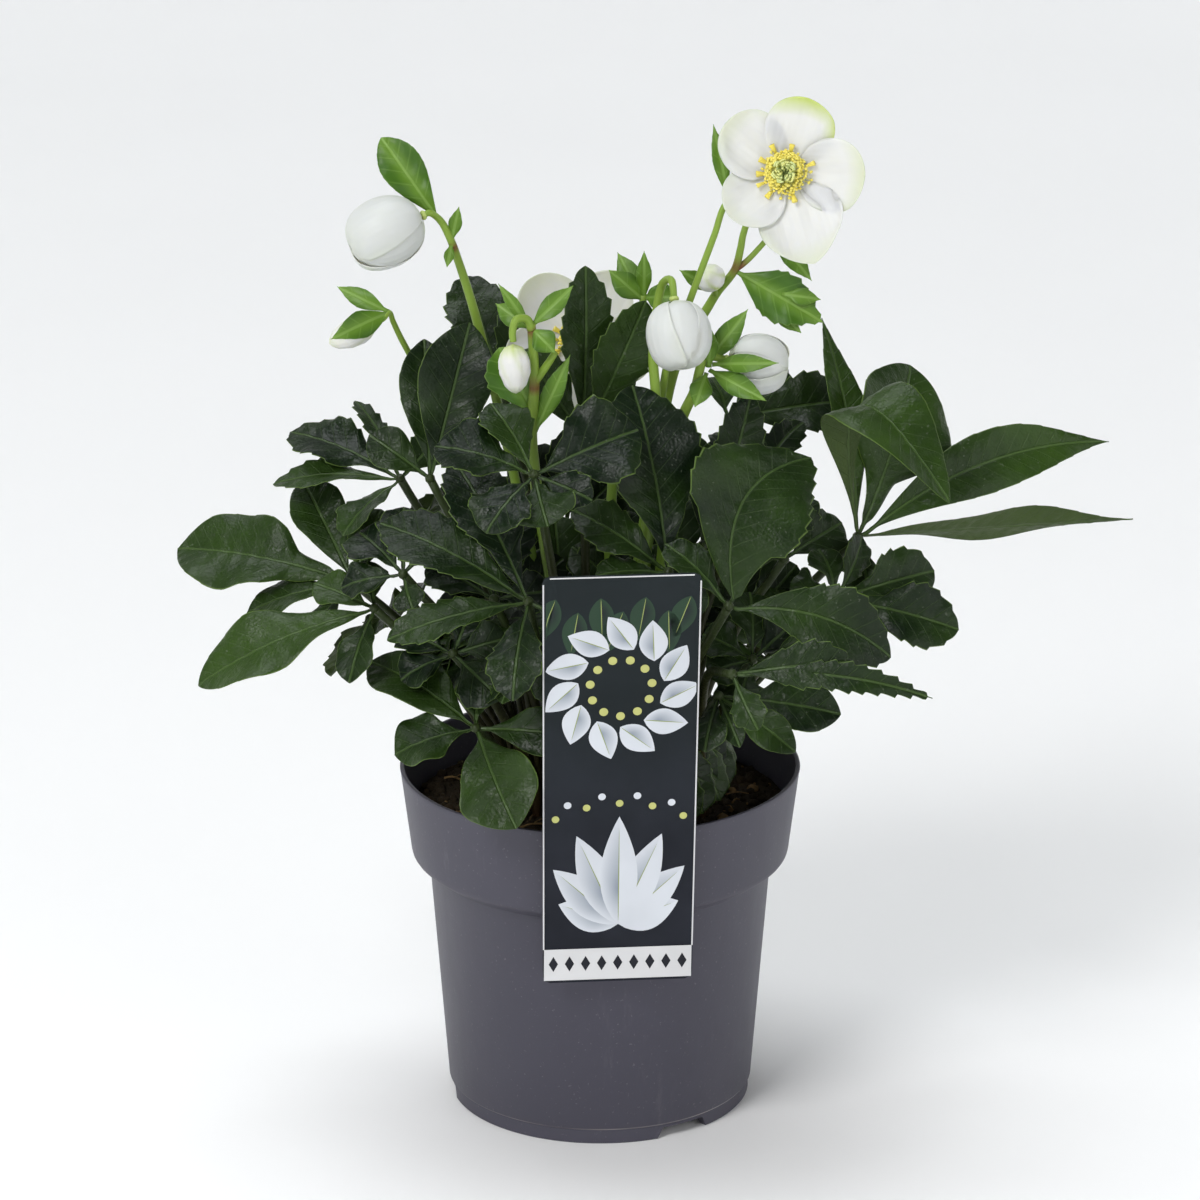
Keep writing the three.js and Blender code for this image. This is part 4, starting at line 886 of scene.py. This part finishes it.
# %% [markdown]
# In the middle of an open flower stands a brush of stamens, each a thin thread with a yellow
# anther, round a few green pods with curled tops. The anthers are small eggs, placed by the
# sunflower rule so that they fill the ring evenly. At the foot of the brush lie the nectaries,
# small yellow-green horns. Buds are closed sepals folded over each other.

# %% Stamens and buds
def stamen_material():
    material, tree, shader = surface("anther", 0.6)
    cloud = noise(tree, 400, 2)
    colour = coat(tree, (0.76, 0.6, 0.045), (cloud, (0.92, 0.82, 0.19)),
                  (mark(tree, "blush"), (0.56, 0.65, 0.28)))
    feed(tree, shader, Base_Color=colour)
    bump(tree, shader, cloud, 0.0002, 0.6)
    return material


STAMEN = stamen_material()
STAMEN_COUNT, POD_COUNT, CURL_COUNT, GOLDEN = 150, 6, 34, 2.39996
NECTARIES = (-11, 30, 65, 95, 117, 145, 200, 290)
POD_LINE = (1, 0.8), (2.5, 3.5), (1.9, 6.5), (2.7, 8.6)
HORN_LINE = (-1.6, 1.2), (0, 2.2), (1.3, 2.6)
BUD_PROFILE = ((0, 0.08, 0.2, 0.35, 0.58, 0.84, 0.95, 1),
               (0, 0.55, 0.82, 0.97, 0.97, 0.66, 0.35, 0.02))
BUD_ROWS, BUD_SIDES = 26, 40
for name in ("open", "back_open"):
    row, heap = FLOWERS[name], new_heap()
    axis, first, second = look_frame(row["look"], row["turn"])
    at = np.array(row["at"])

    def place(radius, angle, height):
        return at + axis * height + radius * (math.cos(angle) * first + math.sin(angle) * second)

    for k in range(POD_COUNT):
        turn = k * 1.0472 + 0.3
        pod = spline([place(out, turn, high) for out, high in POD_LINE])
        add_tube(heap, pod, 1.25 * (1.05 - np.linspace(0, 1, len(pod)) ** 1.5 * 0.8), 8, blush=1.0)
    for k in range(STAMEN_COUNT):
        share, turn = k / STAMEN_COUNT, k * GOLDEN
        out = 4.3 + 3 * share**0.8 + rng.uniform(-0.4, 0.4)
        high = 6.4 - 3.8 * share + rng.uniform(-0.7, 0.7)
        if rng.random() < 0.08:
            out, high = out + 1.8, high * 0.6
        tip = place(out, turn, high)
        thread = spline([place(1.6, turn, 0.6), place(0.62 * out, turn, 0.72 * high), tip], 4)
        add_tube(heap, thread, 0.16, 5, blush=0.45)
        add_ball(heap, tip, rng.normal(size=3), 1.4, 0.54, 4, 6, blush=rng.uniform(0, 0.2))
    for k in range(CURL_COUNT):
        turn, out = k * GOLDEN + rng.uniform(-0.6, 0.6), 0.4 + 3 * (k / CURL_COUNT) ** 0.6
        curl = spline([place(out, turn, 6.5), place(out + 0.9, turn + 0.2, 8.6),
                       place(out + 0.5, turn + 0.6, 9.1)], 4)
        add_tube(heap, curl, 0.34, 6, blush=rng.uniform(0.55, 0.95))
    for angle in NECTARIES:
        turn, out = math.radians(angle), rng.uniform(8.2, 9.4)
        horn = spline([place(out + far, turn, high) for far, high in HORN_LINE], 4)
        add_tube(heap, horn, rng.uniform(0.7, 1.0) * np.linspace(0.6, 1.15, len(horn)), 8, blush=0)
    piece_of(f"stamens_{name}_fine", heap, STAMEN, [f"stamens_{name}"])


def make_bud(name, base, look, length, radius, streak=0.25):
    """A bud of five folded sepals, with green streaks between them."""
    heap, (axis, first, second) = new_heap(), look_frame(look, 0)
    s = np.linspace(0, 1, BUD_ROWS)[:, None]
    a = (np.arange(BUD_SIDES) * TURN / BUD_SIDES)[None, :]
    fold = ((a + 1.3 * s) / 1.2566) % 1.0
    r = radius * np.interp(s, *BUD_PROFILE) * (0.97 + 0.05 * fold)
    points = np.array(base) + axis * (s * length + 0 * a)[..., None]
    points = points + (r * np.cos(a))[..., None] * first + (r * np.sin(a))[..., None] * second
    stripe = streak * np.exp(-(((fold - 0.5) / 0.14) ** 2)) * np.clip(1.7 - 1.7 * s, 0, 1)
    green = np.clip(0.8 - 3 * s, 0, 1) + np.clip((s - 0.8) * 2, 0, 0.35) + stripe
    pour(heap, points, ring_faces(BUD_ROWS, BUD_SIDES), blush=green, across=(a * radius + 0 * s))
    return piece_of(f"bud_{name}_fine", heap, SEPAL, [f"bud_{name}"])


for name, row in BUDS.items():
    make_bud(name, *row)
print("stamens:", STAMEN_COUNT, "in each open flower, buds:", len(BUDS))

# %% [markdown]
# The pot is injection moulded from recycled plastic: dull grey with a violet cast, a deep
# collar, and a foot ring with three notches for the air. A lathe is the natural tool, so the
# same profile as the solid's is turned with 160 sides, and the notches are raised points. The
# drain holes are cut afterwards.

# %% Pot
SIDES, NOTCHES, NOTCH_HALF, NOTCH_TOP = 160, (34, 154, 274), 11, 4.0
DRAIN_HOLES, DRAIN_CIRCLE, DRAIN_RADIUS, SHARP_ANGLE = 6, 36, 4, 38
OUTSIDE = [(10, 0), (10, 4.4), (49.3, 4.4), (49.3, 0.3), (49.7, 0), (52.3, 0), (52.7, 0.4),
           (52.7, 5.2), (53.2, 5.5), (53.6, 6.1), (59.8, 86), (60.3, 86.7), (62.2, 88),
           (65.3, 90.3), (65.9, 91.2), (66.2, 92.5), (69.7, 120.4), (69.95, 121.4),
           (69.8, 121.9), (69.4, 122), (68.8, 122), (68.45, 121.8), (68.4, 121.2), (64.6, 93.3),
           (63.4, 91.3), (58.2, 86.6), (52, 6.4)]
FLOOR_TOP = OUTSIDE[-1][1]


def pot_material():
    material, tree, shader = surface("grey_plastic", 0.5, Specular_IOR_Level=0.42)
    height = z_height(tree)
    cloud, speck = noise(tree, 14, 4), noise(tree, 900, 2)
    scuff = noise(tree, 55, 6, 0.7, (1, 1, 0.25))
    # A pale, broken line round the foot, 5.2 to 6.2 mm up: a painted highlight on the bead where
    # the body meets the foot ring.
    line = times(tree, ramp(tree, height, 0.0052, 0.0055),
                 ramp(tree, height, 0.0058, 0.0062, 1, 0))
    line = times(tree, line, ramp(tree, noise(tree, 30), 0.35, 0.65, 0.1, 0.7))
    colour = coat(tree, (0.046, 0.044, 0.062), (cloud, (0.062, 0.059, 0.082)),
                  (ramp(tree, scuff, 0.6, 0.75, 0, 0.3), (0.16, 0.155, 0.18)),
                  (ramp(tree, speck, 0.66, 0.74, 0, 0.35), (0.2, 0.19, 0.21)),
                  (line, (0.36, 0.33, 0.32)))
    feed(tree, shader, Base_Color=colour)
    feed(tree, shader, Roughness=plus(tree, 0.42, times(tree, scuff, 0.18)))
    bump(tree, shader, plus(tree, speck, times(tree, scuff, 0.8)), 0.00006, 0.5)
    return material


POT = pot_material()
heap = new_heap()
angles = np.arange(SIDES) * TURN / SIDES
profile = np.array([(0.01, 0.0)] + OUTSIDE + [(0.01, FLOOR_TOP)])
ring = np.stack([profile[:, :1] * np.sin(angles), -profile[:, :1] * np.cos(angles),
                 profile[:, 1:] + 0 * angles], -1)
for notch in NOTCHES:
    away = np.abs((np.degrees(angles) - notch + 180) % 360 - 180)
    foot = (profile[:, :1] > 40) & (profile[:, 1:] < NOTCH_TOP)
    ring[..., 2] = np.where((away < NOTCH_HALF)[None, :] & foot, NOTCH_TOP, ring[..., 2])
pour(heap, ring, ring_faces(len(profile), SIDES))
pot = piece_of("pot_fine", heap, POT, ["pot"])
drills = new_heap()
for k in range(DRAIN_HOLES):
    x, y = around(DRAIN_CIRCLE, math.radians(360 / DRAIN_HOLES * k + 30))
    add_tube(drills, np.array([(x, y, 3), (x, y, 8)]), DRAIN_RADIUS, 32)
cutter = mesh_of("drills", np.concatenate(drills["points"]), drills["faces"])
cutter = bpy.data.objects.new("drills", cutter)
drilled = pot.modifiers.new("drain", "BOOLEAN")
drilled.object, drilled.operation = cutter, "DIFFERENCE"
bpy.context.view_layer.update()
shaped = bpy.data.meshes.new_from_object(pot.evaluated_get(bpy.context.evaluated_depsgraph_get()))
pot.modifiers.remove(drilled)
pot.data = shaped
bpy.data.objects.remove(cutter)
sharp = pot.modifiers.new("edges", "EDGE_SPLIT")
sharp.split_angle = math.radians(SHARP_ANGLE)
print("pot faces:", len(pot.data.polygons))

# %% [markdown]
# Peat is a heap of dark crumbs with a few pale fibres. The solid gives the level and wears the
# peat; over it go loose crumbs of many sizes, so that the surface has real shadows.

# %% Peat
CRUMBS, FIBRES, PEAT_RADIUS, FIBRE_RADIUS = 1500, 70, 65, 64


def peat_material():
    material, tree, shader = surface("peat", 0.95, Specular_IOR_Level=0.2)
    fine, coarse = noise(tree, 420, 5, 0.7), noise(tree, 60, 3)
    colour = coat(tree, (0.009, 0.007, 0.004), (fine, (0.05, 0.035, 0.019)),
                  (ramp(tree, coarse, 0.55, 0.7, 0, 0.5), (0.085, 0.055, 0.026)),
                  (mark(tree, "tone"), (0.3, 0.19, 0.08)))
    feed(tree, shader, Base_Color=colour)
    bump(tree, shader, fine, 0.0015, 1.0)
    return material


PEAT = peat_material()
dress("soil", PEAT)


def soil_level(r):
    """Height of the peat at a distance from the pot's axis."""
    return np.interp(r, (0, 40, 66), (SOIL_TOP, SOIL_TOP, 106))


heap = new_heap()
for k in range(CRUMBS):
    r, turn = 64.5 * math.sqrt(rng.random()), rng.uniform(0, 6.283)
    size = 0.5 + 1.7 * rng.random() ** 3
    r = min(r, PEAT_RADIUS - size)
    at = (*around(r, turn), soil_level(r) + 0.25 * size)
    add_ball(heap, at, rng.normal(size=3), size * 2 * rng.uniform(0.8, 1.3), size, 4, 6,
             tone=0.6 * (rng.random() < 0.05))
for k in range(FIBRES):
    r, turn, way = 60 * math.sqrt(rng.random()), rng.uniform(0, 6.283), rng.uniform(0, 6.283)
    mid = np.array([*around(r, turn), soil_level(r) + 0.9])
    step = rng.uniform(2, 5) * np.array([*around(1, way), 0.12])
    line = spline([mid - step, mid + (0, 0, 0.8), mid + step], 4)
    if np.hypot(line[:, 0], line[:, 1]).max() < FIBRE_RADIUS:
        add_tube(heap, line, rng.uniform(0.2, 0.45), 5, tone=rng.uniform(0.3, 0.9))
crumbs = piece_of("peat_crumbs", heap, PEAT)
print("crumb faces:", len(crumbs.data.polygons))

# %% [markdown]
# The label is a printed card hooked over the rim. Its print is a plain design of its own: a
# wreath of pale leaves, a fan of tall leaves with berries on a dark ground, and a pale foot
# band with small lozenges. Flat shapes a few hundredths of a millimetre above the card act as
# ink, and each point carries its ink colour.

# %% Label
CARD_TOP, CARD_LENGTH, CARD_LEAN, CARD_BEARING, CARD_RADIUS = 96.5, 152, 6, 5.2, 70.9
CARD_THICKNESS, RIM_HEIGHT = 0.8, 122
LAYER = 0.012


def card_point(x, y, layer):
    """A point of the card's front, x to the right and y up from its top edge."""
    lean, bearing = math.radians(90 + CARD_LEAN), math.radians(CARD_BEARING)
    up, deep = CARD_TOP + y, CARD_THICKNESS + LAYER * layer
    py = up * math.cos(lean) - deep * math.sin(lean) - CARD_RADIUS + 0.4
    pz = up * math.sin(lean) + deep * math.cos(lean) + RIM_HEIGHT
    c, s = math.cos(bearing), math.sin(bearing)
    return x * c - py * s, x * s + py * c, pz


def card_material():
    material, tree, shader = surface("printed_card", 0.5, Specular_IOR_Level=0.1)
    ink = add(tree, "Attribute", "Color", dict(attribute_name="ink"))
    fade = noise(tree, 35, 3)
    colour = blend(tree, times(tree, fade, 0.25), ink, (0.02, 0.022, 0.03))
    feed(tree, shader, Base_Color=colour)
    bump(tree, shader, noise(tree, 300, 2), 0.00002, 0.4)
    return material


def blank_material():
    material, tree, shader = surface("card_ground", 0.5, Specular_IOR_Level=0.1)
    fade = noise(tree, 30, 4)
    height = z_height(tree)
    colour = coat(tree, (0.006, 0.007, 0.01), (fade, (0.028, 0.031, 0.042)),
                  (ramp(tree, height, 0.1, 0.2, 0, 0.5), (0.012, 0.02, 0.017)))
    feed(tree, shader, Base_Color=colour)
    return material


prints = {"points": [], "faces": [], "inks": []}


def print_shape(outline, ink, layer, middle=None, middle_ink=None):
    """A flat shape from points on the card; with a middle, it is a fan that shades towards it."""
    first = len(prints["points"])
    prints["points"] += [card_point(x, y, layer) for x, y in outline]
    prints["inks"] += [ink] * len(outline)
    if middle is None:
        prints["faces"].append(list(range(first, first + len(outline))))
        return
    prints["points"].append(card_point(*middle, layer))
    prints["inks"].append(middle_ink)
    n = len(outline)
    prints["faces"] += [[first + n, first + k, first + (k + 1) % n] for k in range(n)]


def oval(x, y, long, wide, degrees, n=24, blunt=1.0):
    a = np.arange(n) * 2 * math.pi / n
    u, v = long * np.cos(a), wide * np.sin(a) * (1 - 0.25 * blunt * np.cos(a))
    c, s = math.cos(math.radians(degrees)), math.sin(math.radians(degrees))
    return [(x + c * p - s * q, y + s * p + c * q) for p, q in zip(u, v)]


def inside(points):
    """Keeps a shape on the card."""
    return [(min(max(x, -25.2), 25.2), min(max(y, -CARD_LENGTH + 14), -1.2)) for x, y in points]


PALE, GREY, INK = (0.68, 0.71, 0.76, 1), (0.26, 0.3, 0.36, 1), (0.02, 0.02, 0.026, 1)
SAP, BERRY, FERN = (0.3, 0.36, 0.12, 1), (0.55, 0.56, 0.2, 1), (0.03, 0.06, 0.035, 1)
BORDER = (0.7, 0.7, 0.71, 1)
WREATH_Y, FAN_Y = -41, -130


def box_outline(x0, y0, x1, y1):
    return [(x0, y0), (x1, y0), (x1, y1), (x0, y1)]


def print_leaf(x, y, length, width, turn, layer, ink=PALE, heart=GREY):
    """A pointed leaf from its foot: two shaded halves and a fine midrib."""
    c, s = math.cos(math.radians(turn)), math.sin(math.radians(turn))
    u = np.linspace(0, 1, 14)
    half = width * np.sin(math.pi * u**0.85) ** 0.9
    for side in (1, -1):
        edge = [(x + length * p * c - side * q * s, y + length * p * s + side * q * c)
                for p, q in zip(u, half)]
        middle = inside([(x + 0.32 * length * c, y + 0.32 * length * s)])[0]
        print_shape(inside(edge), ink, layer, middle, heart if side > 0 else ink)
    rib = oval(x + 0.46 * length * c, y + 0.46 * length * s, 0.44 * length, 0.16, turn, 12)
    print_shape(inside(rib), SAP, layer + 1)


for k in range(7):
    print_leaf(-22 + 7.5 * k, -8 - 5 * (k % 2), 16, 4.2, 250 + 11 * (k % 3), 1, FERN, INK)
for k in range(11):
    x, y = around(14.5, math.radians(32.7 * k + 8))
    print_leaf(x, y + WREATH_Y, 15, 4.8, 32.7 * k + 8 + 52, 3 + 2 * (k % 3))
    print_shape(oval(0.72 * x, 0.72 * y + WREATH_Y, 1.5, 1.5, 0, 16, 0), BERRY, 12)
fan = (158, 22), (22, 22), (136, 31), (44, 31), (113, 37), (67, 37), (90, 41)
for k, (turn, length) in enumerate(fan):
    print_leaf(0, FAN_Y, length, 6.4, turn, 3 + 2 * k)
for k in range(9):
    x, y = around(46 + 3 * (k % 2), math.radians(62 + 7 * k))
    dot = oval(x, y + FAN_Y, 1.3, 1.3, 0, 14, 0)
    print_shape(inside(dot), PALE if k % 2 else BERRY, 20)
print_shape(box_outline(-24, -0.6, 24, -0.1), BORDER, 22)
strip = (25.9, -2.5), (26.4, -2.5), (25.6, -139), (25.1, -139)
for side in (-1, 1):
    print_shape([(side * x, y) for x, y in strip][::side], BORDER, 22)
print_shape(box_outline(-25.2, -151, 25.2, -139), BORDER, 22)
lozenge = (-1.6, 0), (0, -2.9), (1.6, 0), (0, 2.9)
for k in range(9):
    print_shape([(x - 22 + 5.5 * k, y - 144.7) for x, y in lozenge], INK, 23)

mesh = mesh_of("label_print", prints["points"], prints["faces"])
inks = mesh.attributes.new("ink", "FLOAT_COLOR", "POINT")
inks.data.foreach_set("color", np.array(prints["inks"], np.float32).ravel())
mesh.materials.append(card_material())
settle(stand("label_print", mesh))
dress("label", blank_material())
print("printed shapes:", len(prints["faces"]))

# %% [markdown]
# Down among the stalks a hellebore keeps many small young leaves. They are too many and too
# small to be solids of their own, and they close the heart of the plant, so that it is dark
# and leafy from every side. The sunflower rule spreads them round the crown, and a few more
# fill the gaps that are left behind the front leaves.

# %% Young leaves in the heart
HEART_PIECES, HEART_LEAVES = 4, 9
HEART_SPOTS = [(-14, 8, 178), (0, 12, 172), (10, 6, 180), (50, 6, 172), (62, 0, 160), (-34, 4, 178),
               (28, 12, 184), (-4, 4, 160)]


def pour_young(heap, hub, face, foot, middle, shrink, half):
    """A small leaf of five uneven leaflets round a middle clock angle."""
    fan = [(middle + 46 * (j - 2) + rng.uniform(-6, 6), 31 - shrink * abs(j - 2),
            half - 0.7 * abs(j - 2), 0, 4) for j in range(5)]
    young = dict(hub=hub, face=face, foot=foot, fan=fan)
    pour_leaf(heap, young, 1.2, coarse=2, tone=rng.uniform(0, 0.5))


for part in range(HEART_PIECES):
    heap = new_heap()
    for k in range(part, HEART_PIECES * HEART_LEAVES, HEART_PIECES):
        bearing, far, high = k * GOLDEN + 0.4, (0.618 * k) % 1, (0.382 * k + 0.3) % 1
        top = 52 + 26 * max(math.sin(bearing), 0)
        hub = *around(24 + 34 * far, bearing), 134 + top * high
        face = math.degrees(bearing) + 90, 35 + 20 * high
        pour_young(heap, hub, face, around(14 + 30 * far, bearing), 180, 4.5, 7.6)
    for spot in HEART_SPOTS[part::HEART_PIECES]:
        pour_young(heap, spot, (0, 25), (0.6 * spot[0], 0.6 * spot[1]), 0, 4, 8.6)
    heart = piece_of(f"young_leaves_{part + 1}", heap, LEAF)
    print("young leaves", part + 1, "faces:", len(heart.data.polygons))

# %% [markdown]
# The plant stands in the middle of a round pale studio: a white floor that curves up into a
# wall on every side, so that no view of the plant ends in the dark. The wall glows a little,
# as a lit paper wall does. A wide soft sun stands for the ceiling boxes, and two broad lamps
# at the front shape the leaves. The camera looks down by about nineteen degrees from 1.85 m.

# %% Floor, lights and camera
FLOOR_RADIUS, CURVE_RADIUS, WALL_TOP, FLOOR_SIDES = 2600, 900, 2000, 96
LENS, SENSOR = 160.4, 36
CAMERA_AT, CAMERA_AIM, LAMP_AIM = (0, -1.7513, 0.7780), (0, 0, 0.1818), (0, 0, 0.15)


def aim(thing, target):
    """Turns a lamp or a camera towards a point."""
    thing.rotation_euler = (Vector(target) - thing.location).to_track_quat("-Z", "Y").to_euler()


def make_floor():
    material, tree, shader = surface("pale_floor", 0.85, Specular_IOR_Level=0.2)
    colour = blend(tree, noise(tree, 3, 2), (0.9, 0.9, 0.9), (0.93, 0.93, 0.93))
    feed(tree, shader, Base_Color=colour)
    shader.inputs["Emission Color"].default_value = (1, 1, 1, 1)
    feed(tree, shader, Emission_Strength=ramp(tree, z_height(tree), 0, 0.3, 0, 0.28))
    bend = np.linspace(0, math.pi / 2, 14)
    profile = [(1, 0), (1000, 0), *zip(FLOOR_RADIUS + CURVE_RADIUS * np.sin(bend),
                                       CURVE_RADIUS * (1 - np.cos(bend)))]
    profile.append((FLOOR_RADIUS + CURVE_RADIUS, WALL_TOP))
    turn = np.arange(FLOOR_SIDES) * TURN / FLOOR_SIDES
    points = [(*around(r, a), z) for r, z in profile for a in turn]
    floor = mesh_of("floor", points, ring_faces(len(profile), FLOOR_SIDES, capped=False))
    floor.shade_smooth()
    floor.materials.append(material)
    stand("floor", floor)


def soft_light(name, place, size, power):
    light = bpy.data.lights.new(name, "AREA")
    light.shape, light.size, light.energy = "DISK", size, power
    lamp = stand(name, light)
    lamp.location = place
    aim(lamp, LAMP_AIM)


make_floor()
soft_light("key", (-1.0, -1.5, 1.8), 0.9, 32)
soft_light("fill", (1.5, -1.3, 1.1), 1.2, 5)
ceiling = bpy.data.lights.new("ceiling", "SUN")
ceiling.energy, ceiling.angle, ceiling.color = 1.7, math.radians(40), (0.95, 0.98, 1)
stand("ceiling", ceiling).rotation_euler = (math.radians(-14), math.radians(-8), 0)
world = bpy.data.worlds.new("studio")
world.use_nodes = True
sky = world.node_tree.nodes["Background"].inputs
sky["Color"].default_value, sky["Strength"].default_value = (0.97, 0.98, 1, 1), 0.05
bpy.context.scene.world = world
bpy.context.scene.view_settings.view_transform = "Standard"

camera = stand("camera", bpy.data.cameras.new("camera"))
camera.data.lens, camera.data.sensor_width = LENS, SENSOR
camera.location = CAMERA_AT
aim(camera, CAMERA_AIM)
bpy.context.scene.camera = camera
print("camera at", [round(v, 3) for v in camera.location])
